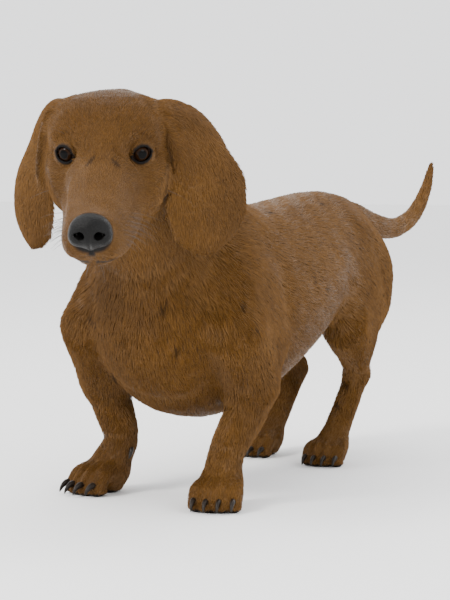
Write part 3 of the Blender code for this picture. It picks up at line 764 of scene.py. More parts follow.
def keep_largest(obj):
    """Deletes crumbs: every closed body but the largest, and faces without area or doubled."""
    mesh = bmesh.new()
    mesh.from_mesh(obj.data)
    bmesh.ops.dissolve_degenerate(mesh, dist=1e-6, edges=mesh.edges)
    left, bodies = set(mesh.verts), []
    while left:
        body = [left.pop()]
        for vertex in body:
            near = {edge.other_vert(vertex) for edge in vertex.link_edges} & left
            left -= near
            body.extend(near)
        bodies.append(body)
    bodies.sort(key=len)
    bmesh.ops.delete(mesh, geom=[vertex for body in bodies[:-1] for vertex in body])
    bmesh.ops.triangulate(mesh, faces=mesh.faces)
    mesh.to_mesh(obj.data)
    mesh.free()
    obj.data.validate()


def build_skin():
    """The modelled clay, the ears' own field, and the skin that the clay's surface makes."""
    clay, ears = shrink(cad_skin())
    part_ears(clay, ears)
    sculpt_body(clay)
    sculpt_legs(clay)
    sculpt_paws(clay)
    sculpt_head(clay)
    heights = clay.low[2] + clay.voxel * np.arange(clay.field.shape[2])
    clay.field[:] = np.maximum(clay.field, -heights.astype(np.float32))
    points, quads = clay.surface()
    skin = mesh_object("skin", points, quads)
    skin.modifiers.new("triangles", "TRIANGULATE")
    skin.modifiers.new("fewer", "DECIMATE").ratio = SKIN_TRIANGLES / (2 * len(quads))
    graph = bpy.context.evaluated_depsgraph_get()
    skin.data = bpy.data.meshes.new_from_object(skin.evaluated_get(graph))
    skin.modifiers.clear()
    keep_largest(skin)
    skin.data.shade_smooth()
    return clay, ears, skin


def bare_share(points):
    """How much of the surface is bare dark skin: the lips, the rims of the eyes and the pads."""
    head = in_frame(points, HEAD)
    x, y, z = head.T
    nose = np.linalg.norm((head - np.array((0, -9.8, -2.8))) / (1, 0.8, 0.95), axis=1)
    bare = smoothstep(1.75, 1.45, nose)
    philtrum = smoothstep(0.32, 0.16, np.abs(x)) * smoothstep(-9.0, -9.3, y) * smoothstep(-5.2, -4.9, z)
    bare = np.maximum(bare, philtrum * smoothstep(0.0, -0.5, z))
    for side in SIDES:
        away, a, u = eye_angles(points, side)
        rim = smoothstep(0.24, 0.10, opening_gap(a, u)) * smoothstep(1.6, 1.35, away)
        bare = np.maximum(bare, rim)
    line = smooth_curve([list(spot) for spot in LIP], 8)[:, 1:]
    near = np.linalg.norm(head - np.array((0, -5.0, -4.8)), axis=1) < 7
    away = np.linalg.norm(head[near][:, None, 1:] - line[None], axis=2).min(1)
    seam = smoothstep(0.20, 0.09, away) * smoothstep(0.6, 0.0, y[near])
    bare[near] = np.maximum(bare[near], seam * (np.abs(x[near]) > 0.2))
    pads = smoothstep(0.42, 0.22, points[:, 2] / CM)
    return np.maximum(bare, pads)


# --- Short dark partings of the coat, each from one end to the other, in centimetres ---
HEAD_MARKS = (
    ((-0.9, -2.8, -0.1), (-0.4, -2.2, 0.3)),
    ((0.8, -2.3, 0.2), (1.3, -2.7, -0.3)),
)
BODY_MARKS = (
    ((-5.2, -19.1, 14.9), (-4.2, -19.5, 14.1)),
    ((1.8, -20.7, 15.3), (2.6, -20.5, 16.2)),
    ((7.3, -17.6, 16.1), (7.4, -18.0, 15.4)),
    ((8.3, -17.5, 14.4), (8.5, -17.6, 13.7)),
    ((6.9, -4.7, 17.6), (7.1, -4.6, 16.6)),
    ((7.0, -1.7, 16.6), (7.1, -2.1, 15.9)),
    ((2.9, -19.9, 12.7), (2.9, -19.7, 12.1)),
    ((-4.6, -16.7, 10.0), (-4.9, -15.6, 9.1)),
    ((3.0, -5.4, 22.3), (2.8, -4.2, 22.3)),
    ((2.4, 6.2, 22.8), (2.6, 7.0, 22.7)),
    ((3.0, 11.0, 7.0), (3.5, 10.7, 6.5)),
    ((2.5, 10.3, 5.2), (3.1, 9.7, 4.8)),
)


def find_marks(clay):
    """Both ends of each mark, settled onto the skin."""
    ends = []
    for place, table in ((HEAD, HEAD_MARKS), (BODY, BODY_MARKS)):
        ends += [place @ (Vector(end) * CM) for mark in table for end in mark]
    return clay.settle(np.array([tuple(end) for end in ends])).reshape(-1, 2, 3)


def parting_and_painted_shade(points, marks, ears):
    """How much darker the coat is: at the partings, and with painted shade beside the ears' edges."""
    beside, _ = ears.sample(points)
    head = in_frame(points, HEAD)
    low = smoothstep(1.5, -1.0, head[:, 2]) * (np.linalg.norm(head, axis=1) < 14)
    # Painted shade: the coat darkens near the ears' lower edges, where the hanging lobes shade the head and
    # neck.
    share = 0.6 * low * smoothstep(7.5 * MM, 2.5 * MM, beside) * (beside > EAR_EDGE)
    for start, end in marks:
        near = np.nonzero(np.linalg.norm(points - (start + end) / 2, axis=1) < 0.02)[0]
        line = end - start
        along = np.clip((points[near] - start) @ line / (line @ line), 0, 1)
        away = np.linalg.norm(points[near] - start - along[:, None] * line, axis=1)
        wide = (0.5 + 1.1 * np.sin(np.pi * np.clip(along, 0.08, 0.92))) * MM  # widest in the middle
        share[near] = np.maximum(share[near], smoothstep(1.5, 0.7, away / wide))
    return share


# --- The coat ---
# Guides: the place in centimetres, the way the hair lies, its length and spacing in millimetres.
# The head's, the ears' and the body's are for the left side and are mirrored for the right one.
HEAD_COAT = (
    ((0.6, -8.2, -1.2), (0.05, 1, 0.15), 2.0, 0.95),
    ((0.9, -4.5, -0.7), (0.05, 1, 0.25), 2.4, 1.0),
    ((2.2, -6.8, -3.4), (0.15, 1, -0.35), 2.4, 1.0),
    ((2.2, -3.5, -4.6), (0.1, 0.9, -0.6), 2.8, 1.05),
    ((1.2, -8.9, -4.4), (0.9, 0.3, -0.6), 1.8, 0.95),
    ((0.8, -7.0, -5.9), (0, 1, -0.2), 2.8, 1.1),
    ((1.2, -1.0, -6.0), (0, 1, -0.1), 4.0, 1.3),
    ((0.4, -0.8, 1.4), (0.1, 0.5, 0.85), 2.2, 1.0),
    ((0.9, 2.0, 3.3), (0.1, 0.9, 0.4), 3.2, 1.1),
    ((2.3, -0.3, 1.5), (0.45, 0.4, 0.8), 2.4, 1.0),
    ((2.3, -1.1, -1.1), (0.5, 0.8, -0.45), 2.4, 1.0),
    ((3.7, 1.2, 0.1), (0.2, 1, -0.05), 2.8, 1.05),
    ((4.3, 2.8, -2.4), (0.1, 0.85, -0.5), 3.6, 1.2),
    ((0.8, 5.6, 3.5), (0.05, 1, -0.1), 4.2, 1.2),
    ((1.4, 8.8, 1.6), (0, 0.8, -0.6), 5.5, 1.4),
    ((3.4, 7.0, -1.5), (0.1, 0.8, -0.6), 5.0, 1.4),
    ((1.2, 3.8, -5.6), (0, 0.75, -0.65), 5.5, 1.4),
)
EAR_COAT = (
    ((4.2, 3.8, 3.0), (0.8, 0.1, -0.4), 3.6, 1.15),
    ((5.9, 4.2, 0.6), (0.25, 0.05, -1), 4.6, 1.2),
    ((6.4, 4.1, -3.3), (0, 0, -1), 5.0, 1.25),
    ((4.4, 1.9, -3.0), (-0.1, -0.15, -1), 4.2, 1.2),
    ((8.6, 6.0, -3.2), (0.1, 0.15, -1), 4.6, 1.2),
    ((6.3, 3.5, -7.0), (-0.05, -0.1, -1), 4.6, 1.2),
)
BODY_COAT = (
    ((0.8, -17.5, 27.0), (0.1, 0.7, -0.7), 7.0, 1.6),
    ((4.6, -19.5, 23.0), (0.1, 0.6, -0.8), 7.5, 1.6),
    ((0.9, -23.4, 20.0), (0.05, 0.35, -0.95), 7.5, 1.6),
    ((1.5, -20.4, 14.0), (0.2, 0.15, -1), 8.5, 1.7),
    ((1.5, -18.3, 8.4), (0, 0.6, -0.8), 7.5, 1.7),
    ((5.2, -18.6, 16.0), (0.25, 0.4, -0.9), 8.0, 1.7),
    ((7.3, -15.0, 15.0), (0.1, 0.6, -0.8), 8.0, 1.7),
    ((5.5, -12.0, 20.0), (0.25, 0.9, -0.45), 9.0, 1.8),
    ((1.0, -10.5, 23.6), (0.15, 1, -0.05), 9.5, 1.8),
    ((1.0, 0.0, 23.0), (0.12, 1, 0), 10.0, 1.8),
    ((1.0, 9.0, 23.6), (0.12, 1, 0), 10.0, 1.8),
    ((0.8, 15.0, 22.8), (0.1, 1, -0.3), 9.0, 1.8),
    ((6.6, -5.0, 18.0), (0.1, 1, -0.35), 9.5, 1.8),
    ((6.2, 3.0, 18.5), (0.1, 1, -0.35), 9.5, 1.8),
    ((7.2, -3.0, 14.0), (0, 1, -0.35), 9.0, 1.8),
    ((5.4, -5.0, 9.0), (-0.1, 1, -0.25), 8.0, 1.7),
    ((1.0, -8.0, 6.6), (0, 1, -0.1), 7.0, 1.7),
    ((1.0, -1.0, 8.6), (0, 1, 0.1), 7.0, 1.7),
    ((1.0, 8.0, 12.2), (0, 1, 0.25), 6.0, 1.6),
    ((5.4, 6.0, 16.5), (0.05, 0.9, -0.45), 9.0, 1.8),
    ((4.8, 5.6, 12.8), (0, 0.8, -0.55), 7.5, 1.7),
    ((5.0, 12.5, 19.5), (0.15, 0.75, -0.65), 9.0, 1.8),
    ((5.8, 13.0, 15.0), (0, 0.45, -0.9), 8.0, 1.7),
    ((5.4, 9.0, 12.6), (0, 0.55, -0.85), 7.0, 1.6),
    ((3.0, 19.0, 16.0), (0, 0.2, -1), 8.0, 1.7),
    ((1.6, 15.0, 12.8), (0, 0.3, -1), 6.0, 1.6),
    ((7.8, -15.0, 11.0), (0, 0.35, -0.95), 7.0, 1.6),
    ((7.0, -11.8, 9.6), (0, 0.5, -0.85), 6.5, 1.5),
    ((6.2, -15.5, 6.8), (0, -0.1, -1), 5.5, 1.4),
    ((4.6, -14.6, 6.8), (0, 0.1, -1), 5.5, 1.4),
)
LEFT_COAT = (
    ((5.4, -16.6, 3.6), (0, -0.4, -0.9), 4.5, 1.3),
    ((4.3, 10.6, 10.0), (0, 0.6, -0.8), 6.0, 1.5),
    ((3.6, 12.8, 7.6), (0, 0.1, -1), 5.0, 1.4),
    ((3.2, 10.8, 5.0), (0, -0.5, -0.85), 4.8, 1.3),
)
RIGHT_COAT = (
    ((-5.9, -14.0, 3.8), (0, -0.4, -0.9), 4.5, 1.3),
    ((-5.2, 14.0, 9.6), (0, 0.65, -0.75), 6.0, 1.5),
    ((-4.8, 17.4, 7.4), (0, 0.0, -1), 5.0, 1.4),
    ((-4.8, 14.3, 5.0), (0, -0.65, -0.75), 4.8, 1.3),
)
TAIL_COAT = (
    ((-0.7, 20.0, 23.0), (0, 1, -0.05), 8.5, 1.6),
    ((-0.5, 21.0, 19.8), (0, 0.9, -0.3), 8.5, 1.6),
    ((-0.1, 26.6, 20.3), (0.08, 1, -0.05), 8.5, 1.5),
    ((0.4, 31.0, 20.6), (0.1, 0.9, 0.35), 8.0, 1.5),
    ((0.8, 34.4, 22.8), (0.1, 0.65, 0.75), 7.5, 1.4),
    ((1.0, 36.2, 26.0), (0.05, 0.35, 0.95), 7.0, 1.3),
)
PAW_COAT = (
    ((0.0, -1.0, 2.6), (0, -0.9, -0.4), 3.4, 1.15),
    ((0.0, -2.5, 1.8), (0, -0.75, -0.65), 3.2, 1.1),
    ((1.8, -0.5, 1.3), (0.1, -0.7, -0.7), 3.4, 1.15),
    ((-1.8, -0.5, 1.3), (-0.1, -0.7, -0.7), 3.4, 1.15),
    ((0.0, 1.9, 1.5), (0, 0.1, -1), 3.6, 1.2),
)


def coat_guides():
    """All the guides in the frame's metres, one in each row."""
    rows = []

    def add(table, place_of, sides=(1,), scale=1.0):
        for spot, lie, length, spacing in table:
            for side in sides:
                place = place_of(side)
                spot_here = place @ (Vector((spot[0] * side, spot[1], spot[2])) * scale * CM)
                lie_here = place.to_3x3() @ Vector((lie[0] * side, lie[1], lie[2]))
                rows.append((*spot_here, *lie_here.normalized(), length, spacing))

    add(HEAD_COAT, lambda side: HEAD, SIDES)
    add(EAR_COAT, ear_frame, SIDES)
    add(BODY_COAT, lambda side: BODY, SIDES)
    for table in (LEFT_COAT, RIGHT_COAT, TAIL_COAT):
        add(table, lambda side: BODY)
    for name in PAWS:
        paw, size = paw_frame(name)
        add(PAW_COAT, lambda side: paw, scale=size)
    return np.array(rows)


def guided(points):
    """The lie, length and spacing of the coat at points, blended from the guides around them."""
    guides = coat_guides()
    found = np.empty((len(points), 5))
    batch = 20000
    for start in range(0, len(points), batch):
        part = points[start : start + batch]
        gap = ((part[:, None] - guides[None, :, :3]) ** 2).sum(-1) / CM**2
        weight = 1 / (gap + 0.3) ** 2.2
        weight /= weight.sum(1, keepdims=True)
        found[start : start + batch] = weight @ guides[:, 3:]
    return found


REGIONS = ("head", "ears", "neck", "chest", "belly", "hindquarters")
PATCH = 0.003  # the width of a tuft's place on the unwrap
TUFT_SIDES = ((0, 2, 3), (2, 1, 3), (0, 1, 2), (1, 0, 3))  # corners: the roots, the ridge, the tip
TUFT_SHADES = (0.72, 0.72, 0.95, 1.18)
TUFT_RIDGE = 0.36  # how far along a tuft its ridge is


def region_of(points, ears):
    """The number of the region that each point lies in."""
    number = {name: place for place, name in enumerate(REGIONS)}
    head = in_frame(points, HEAD)
    y, z = points[:, 1] / CM, points[:, 2] / CM
    behind = [number["hindquarters"], number["belly"]]
    region = np.select([y > 8.6, y > -6.5], behind, number["chest"])
    neck_line = (y - 0.7 + 16.6) * -0.80 + (z - 21.0) * 0.60
    region[(neck_line > 0) & (y < -10)] = number["neck"]
    near_head = np.linalg.norm(head - np.array((0, 0.5, -1.5)), axis=1) < 11.5
    region[(head[:, 1] < 7.6) & near_head & (head[:, 2] > -7)] = number["head"]
    away, _ = ears.sample(points)
    region[away < EAR_EDGE] = number["ears"]
    return region


def unwrap(name, points, faces):
    """Each face corner's place on an unwrap of this part of the skin."""
    part = mesh_object(name, points, faces)
    bpy.context.view_layer.objects.active = part
    bpy.ops.object.select_all(action="DESELECT")
    part.select_set(True)
    bpy.ops.object.mode_set(mode="EDIT")
    bpy.ops.mesh.select_all(action="SELECT")
    bpy.ops.uv.smart_project(angle_limit=math.radians(66), island_margin=0.004)
    bpy.ops.object.mode_set(mode="OBJECT")
    places = np.empty(len(part.data.loops) * 2, np.float32)
    part.data.uv_layers.active.data.foreach_get("uv", places)
    assert len(places) == len(faces) * 6
    mesh = part.data
    bpy.data.objects.remove(part)
    bpy.data.meshes.remove(mesh)
    return places.reshape(-1, 3, 2)


def sow(points, faces, spacing, bare):
    """Evenly scattered roots on the skin: each one's face, and its shares of the face's corners.

    Roots are scattered thickly, then one is kept in each cell of a grid as wide as the spacing.
    """
    corners = points[faces]
    edges = corners[:, 1] - corners[:, 0], corners[:, 2] - corners[:, 0]
    area = np.linalg.norm(np.cross(*edges), axis=1) / 2
    gap = spacing[faces].mean(1) * MM
    wanted = 2.6 * area / gap**2
    tries = np.floor(wanted + RNG.random(len(faces))).astype(int)
    face = np.repeat(np.arange(len(faces)), tries)
    r1, r2 = np.sqrt(RNG.random(len(face))), RNG.random(len(face))
    share = np.stack((1 - r1, r1 * (1 - r2), r1 * r2), 1)
    spots = (points[faces[face]] * share[..., None]).sum(1)
    order = RNG.permutation(len(face))
    face, share, spots = face[order], share[order], spots[order]
    step, span = 0.06, 20000  # between the logarithms of two widths of cell; cells along an axis
    level = np.round(np.log(gap[face] / MM) / step).astype(int)
    cell = np.exp(level * step) * MM
    key = np.floor(spots / cell[:, None] + span // 4).astype(np.int64)
    key = ((level + 50) * span + key[:, 0]) * span * span + key[:, 1] * span + key[:, 2]
    _, first = np.unique(key, return_index=True)
    keep = first[(bare[faces[face[first]]] * share[first]).sum(1) < 0.35]
    return face[keep], share[keep]


def make_tufts(name, clay, spots, normals, lie, length, tone, places):
    """Solid four-sided tufts that lie close along the skin, each a small patch on the unwrap."""
    count = len(spots)
    wave = np.sin(spots @ np.array((310.0, 170.0, 230.0)))
    swirl = 0.10 * wave + RNG.normal(0, 0.13, count)  # radians off the guides' lie
    lie = lie - (lie * normals).sum(1, keepdims=True) * normals
    lie /= np.maximum(np.linalg.norm(lie, axis=1, keepdims=True), 1e-6)
    side = np.cross(lie, normals)
    lie = lie * np.cos(swirl)[:, None] + side * np.sin(swirl)[:, None]
    side = np.cross(lie, normals)
    length = length * MM * RNG.uniform(0.75, 1.2, count)
    height = coat_depth(spots) * RNG.uniform(0.45, 1.0, count) + 0.10 * MM
    steepest = 0.2 if name == "coat_ears" else 0.45
    height = np.minimum(height, length * steepest)
    half = (0.075 * length + 0.14 * MM) * RNG.uniform(0.8, 1.2, count)

    def at(share, lift):
        """Points that far along the tufts and that high over the skin."""
        spot = spots + lie * (length * share)[:, None]
        value, slope = clay.sample(spot)
        slope /= np.maximum(np.linalg.norm(slope, axis=1, keepdims=True), 1e-6)
        return spot + slope * (lift - np.clip(value, -3 * MM, 3 * MM))[:, None]

    root = spots - normals * (0.12 * MM)
    ridge = at(TUFT_RIDGE, 0.52 * height + 0.10 * MM + 0.25 * half)
    tip = at(1.0, height)
    verts = np.stack((root - side * half[:, None], root + side * half[:, None], ridge, tip), 1)
    first = 4 * np.arange(count)[:, None]
    faces = np.concatenate([first + np.array(corners) for corners in TUFT_SIDES], 1)
    coat = mesh_object(name, verts.reshape(-1, 3), faces.reshape(-1, 3), smooth=False)
    corner = np.array(((-1, -1), (1, -1), (0, 0), (0, 1))) * PATCH / 2
    spread = (places[:, None] + corner[None]).reshape(-1, 2)
    layer = coat.data.uv_layers.new(name="OFBake")
    layer.data.foreach_set("uv", spread[faces.reshape(-1)].astype(np.float32).ravel())
    shade = tone[:, None] * np.array(TUFT_SHADES)
    add_attribute(coat, "shade", shade.ravel())
    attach(coat, "root")
    return coat


def grow_coat(clay, ears, skin, marks):
    """One piece of tufts for each region."""
    points, faces = arrays_of(skin)
    normals = np.empty(len(points) * 3, np.float32)
    skin.data.vertices.foreach_get("normal", normals)
    normals = normals.reshape(-1, 3)
    guide = guided(points)
    bare = bare_share(points)
    region = region_of(points[faces].mean(1), ears)
    coats = []
    for number, name in enumerate(REGIONS):
        here = faces[region == number]
        used, local = np.unique(here, return_inverse=True)
        local = local.reshape(here.shape)
        places = unwrap("part", points[used], local)
        face, share = sow(points, here, guide[:, 4], bare)
        corner = here[face]

        def read(values):
            return (values[corner] * share[..., None]).sum(1)

        normal = read(normals)
        normal /= np.linalg.norm(normal, axis=1, keepdims=True)
        rooted = (places[face] * share[..., None]).sum(1)
        spots = read(points)
        # The tufts' tone: random, darker at the partings, and with painted shade beside the ears' edges.
        tone = RNG.normal(1.0, 0.11, len(face)).clip(0.7, 1.35) * (1 - 0.6 * parting_and_painted_shade(spots, marks, ears))
        lie, length = read(guide[:, :3]), read(guide[:, 3:4])[:, 0]
        coats.append(make_tufts(f"coat_{name}", clay, spots, normal, lie, length, tone, rooted))
    return coats


# --- Eyes, nose, claws and whiskers ---
def make_eye(name, side):
    """An eyeball with the cornea's bulge; theta runs from the pupil's middle to the back."""
    centre, *axes = eye_axes(side)
    rings, sides = 56, 72
    theta = np.linspace(0, math.pi, rings)
    radius = EYE_RADIUS * (0.985 + 0.055 * smoothstep(0.62, 0.30, theta))
    angle = 2 * math.pi * np.arange(sides) / sides
    across, along = np.sin(theta) * radius, np.cos(theta) * radius
    turned = (across, np.cos(angle)), (across, np.sin(angle)), (along, np.ones(sides))
    local = np.stack([np.outer(*pair) for pair in turned], -1)
    local = local.reshape(-1, 3)[sides - 1 : (rings - 1) * sides + 1]  # one point at each pole
    points = (local @ np.array(axes) + np.array(centre)) * CM
    points = points @ np.array(HEAD.to_3x3()).T + np.array(HEAD.translation)
    faces = []
    inner = rings - 2
    for ring in range(inner - 1):
        for k in range(sides):
            a, b = 1 + ring * sides + k, 1 + ring * sides + (k + 1) % sides
            faces += [(a, a + sides, b), (b, a + sides, b + sides)]
    last = 1 + (inner - 1) * sides
    for k in range(sides):
        faces += [(0, 1 + k, 1 + (k + 1) % sides), (last + sides, last + (k + 1) % sides, last + k)]
    eye = mesh_object(name, points, faces)
    off_axis = np.hypot(local[:, 0], local[:, 1])
    add_attribute(eye, "theta", np.arctan2(off_axis, local[:, 2]))
    add_attribute(eye, "spin_x", local[:, 0] / np.maximum(off_axis, 1e-4))
    add_attribute(eye, "spin_y", local[:, 1] / np.maximum(off_axis, 1e-4))
    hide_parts(name.replace("ball", "eye"))
    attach(eye, "root")
    return eye


def paint_eyes(eyes):
    shader, tree = new_material(
        "dark_brown_eye", eyes, Roughness=0.08, Specular_IOR_Level=0.03, Coat_Weight=0.08, Coat_Roughness=0.02
    )
    stops = (  # pupil, iris, its dark edge, and the white
        (0.00, (0.0005, 0.0005, 0.0005)),
        (0.29, (0.0005, 0.0005, 0.0005)),
        (0.32, (0.0075, 0.0030, 0.0010)),
        (0.45, (0.0170, 0.0065, 0.0020)),
        (0.56, (0.0080, 0.0032, 0.0012)),
        (0.62, (0.0015, 0.0010, 0.0008)),
        (0.72, (0.020, 0.011, 0.008)),
        (1.00, (0.10, 0.06, 0.045)),
    )
    colour = add_ramp(tree, read_attribute(tree, "theta"), *stops)
    spin = add_node(tree, "ShaderNodeCombineXYZ")
    for axis in "xy":
        tree.links.new(read_attribute(tree, f"spin_{axis}"), spin.inputs[axis.upper()])
    fibres = add_noise(tree, spin.outputs["Vector"], Scale=9.0, Detail=5.0, Roughness=0.7)
    strength = add_range(tree, fibres, From_Min=0.3, From_Max=0.7, To_Min=0.55, To_Max=1.5)
    tree.links.new(add_scale(tree, colour, strength), shader.inputs["Base Color"])


NOSTRIL = (((0.56, -10.9, -2.85), 0.20), ((0.60, -10.45, -2.72), 0.27), ((0.50, -9.9, -2.55), 0.22))
NOSTRIL_SLIT = (
    ((0.62, -10.55, -2.75), 0.16),
    ((1.00, -10.25, -2.68), 0.13),
    ((1.34, -9.85, -2.90), 0.10),
    ((1.52, -9.5, -3.2), 0.07),
)


def make_nose():
    middle = np.array(centre_of("nose"))
    clay = Clay(middle - 0.022, middle + 0.022, 0.42 * MM)
    clay.lump((0, -9.62, -2.62), (1.46, 1.02, 1.20), HEAD, turn=-12)
    for side in SIDES:
        clay.lump((0.88 * side, -9.85, -2.95), (0.60, 0.66, 0.62), HEAD, blend=0.25)
    clay.lump((0, -9.6, -3.4), (0.32, 0.45, 0.55), HEAD)
    for side in SIDES:
        clay.sweep(NOSTRIL, HEAD, blend=0.12, side=side, sign=-1)
        clay.sweep(NOSTRIL_SLIT, HEAD, blend=0.10, side=side, sign=-1)
    groove = [(0, -10.6, -2.1), (0, -10.7, -2.8), (0, -10.4, -3.6), (0, -10.0, -4.2)]
    clay.stroke(groove, 1.1, 0.75, HEAD, fade=0.1)
    nose = mesh_object("nose_leather", *clay.surface())
    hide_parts("nose")
    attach(nose, "root")
    return nose


def paint_nose(nose):
    shader, tree = new_material("black_nose_leather", [nose], Roughness=0.36, Specular_IOR_Level=0.12)
    place = add_position(tree)
    cells = add_node(tree, "ShaderNodeTexVoronoi", Scale=1050.0)
    tree.links.new(place, cells.inputs["Vector"])
    add_bump(tree, shader, cells.outputs["Distance"], 0.65, 0.0004).invert = True
    tone = add_noise(tree, place, Scale=160.0, Detail=3.0)
    colour = add_ramp(tree, tone, (0, (0.0016, 0.0015, 0.0015)), (1, (0.0050, 0.0046, 0.0042)))
    tree.links.new(colour, shader.inputs["Base Color"])


# --- The claws from root to point: back and up from the toe's tip, half width, half thickness ---
CLAW = (
    (-0.20, 0.24, 0.12, 0.14),
    (-0.45, 0.31, 0.20, 0.24),
    (-0.78, 0.22, 0.18, 0.23),
    (-1.05, 0.01, 0.14, 0.17),
    (-1.24, -0.26, 0.08, 0.09),
    (-1.31, -0.42, 0.02, 0.02),
)
DEWCLAW = (
    (0.12, 0.40, 0.08, 0.08),
    (0.05, 0.22, 0.16, 0.17),
    (-0.10, -0.05, 0.14, 0.16),
    (-0.28, -0.30, 0.09, 0.10),
    (-0.42, -0.46, 0.02, 0.02),
)


def toe_tip(toe, size):
    return toe * TOE_SPACING * size * 1.04, toe_back(toe, size) - 2.35 * size, 0.62 * size


def make_claws():
    claws = []

    def claw(name, node, table, tip, size, place):
        x, y, z = tip
        stations = [
            ((x, y + back * size, z + up * size), wide * size, thick * size, 0)
            for back, up, wide, thick in table
        ]
        made = mesh_object(name, *loft(stations, place, sides=20, steps=8))
        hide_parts(node)
        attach(made, "root")
        claws.append(made)

    for name in PAWS:
        place, size = paw_frame(name)
        row, side = name.split("_")
        for number, toe in enumerate(TOES, 1):
            node = f"{row}_claw_{side}_{number}"
            claw(f"claw_{name}_{number}", node, CLAW, toe_tip(toe, size), size, place)
    for name, side in (("left", 1), ("right", -1)):
        x, y, z = WRISTS[side]
        tip = x - side * 1.35, y - 0.7, z - 1.1
        claw(f"dewclaw_horn_{name}", f"dewclaw_{name}", DEWCLAW, tip, 1, BODY)
    return claws


def paint_claws(claws):
    shader, tree = new_material("dark_horn", claws, Roughness=0.32, Specular_IOR_Level=0.15)
    stretch = add_node(tree, "ShaderNodeMapping", Scale=(900.0, 90.0, 250.0))
    tree.links.new(add_position(tree), stretch.inputs["Vector"])
    grain = add_noise(tree, stretch.outputs["Vector"], Scale=1.0, Detail=4.0)
    colour = add_ramp(tree, grain, (0, (0.0040, 0.0028, 0.0020)), (1, (0.020, 0.014, 0.010)))
    tree.links.new(colour, shader.inputs["Base Color"])
    add_bump(tree, shader, grain, 0.35, 0.0002)


def whisker_roots():
    """Each whisker's place, the way it points, and its length in millimetres."""
    roots = []
    for side in SIDES:
        for row in range(4):  # on the muzzle
            for k in range(5):
                spot = (2.2 * side, -8.1 + 0.85 * k + 0.2 * row, -2.9 - 0.42 * row)
                lie = (0.85 * side, 0.35 + 0.10 * k, -0.28 - 0.10 * row)
                roots.append((spot, lie, 14 + 3.2 * k - 1.5 * row))
        for k in range(3):  # over the eye
            roots.append((((2.1 + 0.35 * k) * side, -0.2, 1.5), (0.30 * (k + 0.5) * side, -0.55, 0.75), 14))
        roots.append(((4.2 * side, 1.6, -3.2), (0.9 * side, 0.2, -0.35), 17))  # on the cheek
        for k in range(2):  # under the chin
            roots.append(((0.5 * side, -8.2 + 0.9 * k, -6.0), (0.25 * side, -0.15, -0.95), 9))
    return roots


def make_whiskers(clay):
    """Stiff hairs that taper and droop."""
    points, faces = [], []
    down, rings = Vector((0, 0, -1)), 7
    for spot, lie, length in whisker_roots():
        start = clay.settle([HEAD @ (Vector(spot) * CM)])[0]
        _, slope = clay.sample([start])
        normal = Vector(slope[0]).normalized()
        lie = (HEAD.to_3x3() @ Vector(lie)).normalized()
        lie = (lie + normal * max(0.25 - lie.dot(normal), 0)).normalized()
        lie = (lie + Vector(RNG.normal(0, 0.06, 3))).normalized()
        length *= MM * RNG.uniform(0.85, 1.15)
        side = lie.cross(-down).normalized()
        rise = side.cross(lie)
        base = len(points)
        for ring in range(rings):
            t = ring / (rings - 1)
            middle = Vector(start) - normal * 0.0006 + lie * (length * t) + down * (0.16 * length * t * t)
            radius = (0.17 - 0.13 * t) * MM
            for k in range(4):
                angle = math.pi / 2 * k
                points.append(middle + (side * math.cos(angle) + rise * math.sin(angle)) * radius)
        for ring in range(rings - 1):
            for k in range(4):
                a, b = base + 4 * ring + k, base + 4 * ring + (k + 1) % 4
                faces += [(a, b, b + 4), (a, b + 4, a + 4)]
        end = base + 4 * (rings - 1)
        faces += [(base, base + 2, base + 1), (base, base + 3, base + 2)]
        faces += [(end, end + 1, end + 2), (end, end + 2, end + 3)]
    whiskers = mesh_object("whiskers", np.array([tuple(p) for p in points]), faces)
    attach(whiskers, "root")
    return whiskers


def paint_whiskers(whiskers):
    shader, tree = new_material("whisker_hair", [whiskers], Roughness=0.4)
    tone = add_noise(tree, Scale=90.0)
    colour = add_ramp(tree, tone, (0, (0.012, 0.008, 0.006)), (1, (0.060, 0.035, 0.020)))
    tree.links.new(colour, shader.inputs["Base Color"])


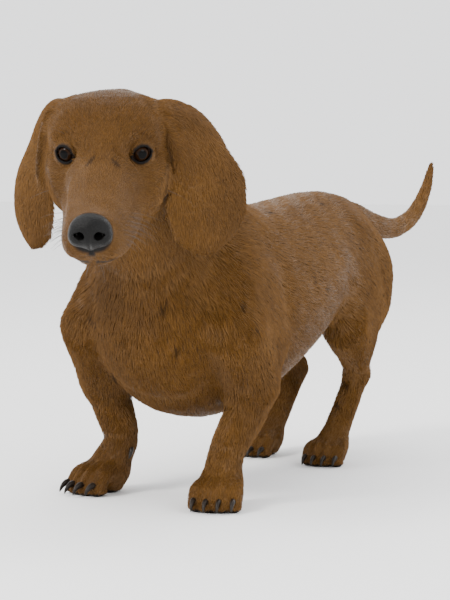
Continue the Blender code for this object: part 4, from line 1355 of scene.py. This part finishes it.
# --- Paint of the skin and the coat ---
COAT_DARK, COAT_LIGHT = (0.082, 0.037, 0.0085), (0.116, 0.054, 0.0130)
BARE_SKIN = (0.0030, 0.0022, 0.0018)


def coat_colour(tree):
    """The brown of the coat by place, the same on the skin and on the hair."""
    tone = add_noise(tree, add_position(tree), Scale=14.0, Detail=4.0, Roughness=0.6)
    return add_ramp(tree, tone, (0.35, COAT_DARK), (0.68, COAT_LIGHT))


def paint_skin(skin):
    shader, tree = new_material("brown_skin", [skin], Roughness=0.5, Specular_IOR_Level=0.08)
    # The skin is the coat's brown times 0.72, darker at the partings and with painted shade beside the ears'
    # edges.
    shade = add_range(tree, read_attribute(tree, "mark"), To_Min=0.72, To_Max=0.29)
    mix = add_node(tree, "ShaderNodeMix")
    mix.data_type = "RGBA"
    haired, bare = [socket for socket in mix.inputs if socket.type == "RGBA"]
    tree.links.new(read_attribute(tree, "bare"), mix.inputs[0])
    tree.links.new(add_scale(tree, coat_colour(tree), shade), haired)
    bare.default_value = (*BARE_SKIN, 1)
    result = next(socket for socket in mix.outputs if socket.type == "RGBA")
    tree.links.new(result, shader.inputs["Base Color"])
    add_bump(tree, shader, add_noise(tree, Scale=900.0, Detail=2.0), 0.35, 0.0004)


def paint_coat(coats):
    shader, tree = new_material("brown_hair", coats, Roughness=0.40, Specular_IOR_Level=0.11)
    # The "shade" attribute: each tuft's tone, darker at the roots and the partings, with painted shade beside
    # the ears' edges.
    colour = add_scale(tree, coat_colour(tree), read_attribute(tree, "shade"))
    tree.links.new(colour, shader.inputs["Base Color"])


def main():
    add_camera()
    add_stage()
    clay, ears, skin = build_skin()
    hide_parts(*FLESH)
    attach(skin, "root")
    points, _ = arrays_of(skin)
    add_attribute(skin, "bare", bare_share(points))
    marks = find_marks(clay)
    # The skin's "mark" attribute holds the partings and the painted shade beside the ears' edges.
    add_attribute(skin, "mark", parting_and_painted_shade(points, marks, ears))
    paint_skin(skin)
    paint_coat(grow_coat(clay, ears, skin, marks))
    paint_eyes([make_eye("ball_right", -1), make_eye("ball_left", 1)])
    paint_nose(make_nose())
    paint_claws(make_claws())
    paint_whiskers(make_whiskers(clay))


main()
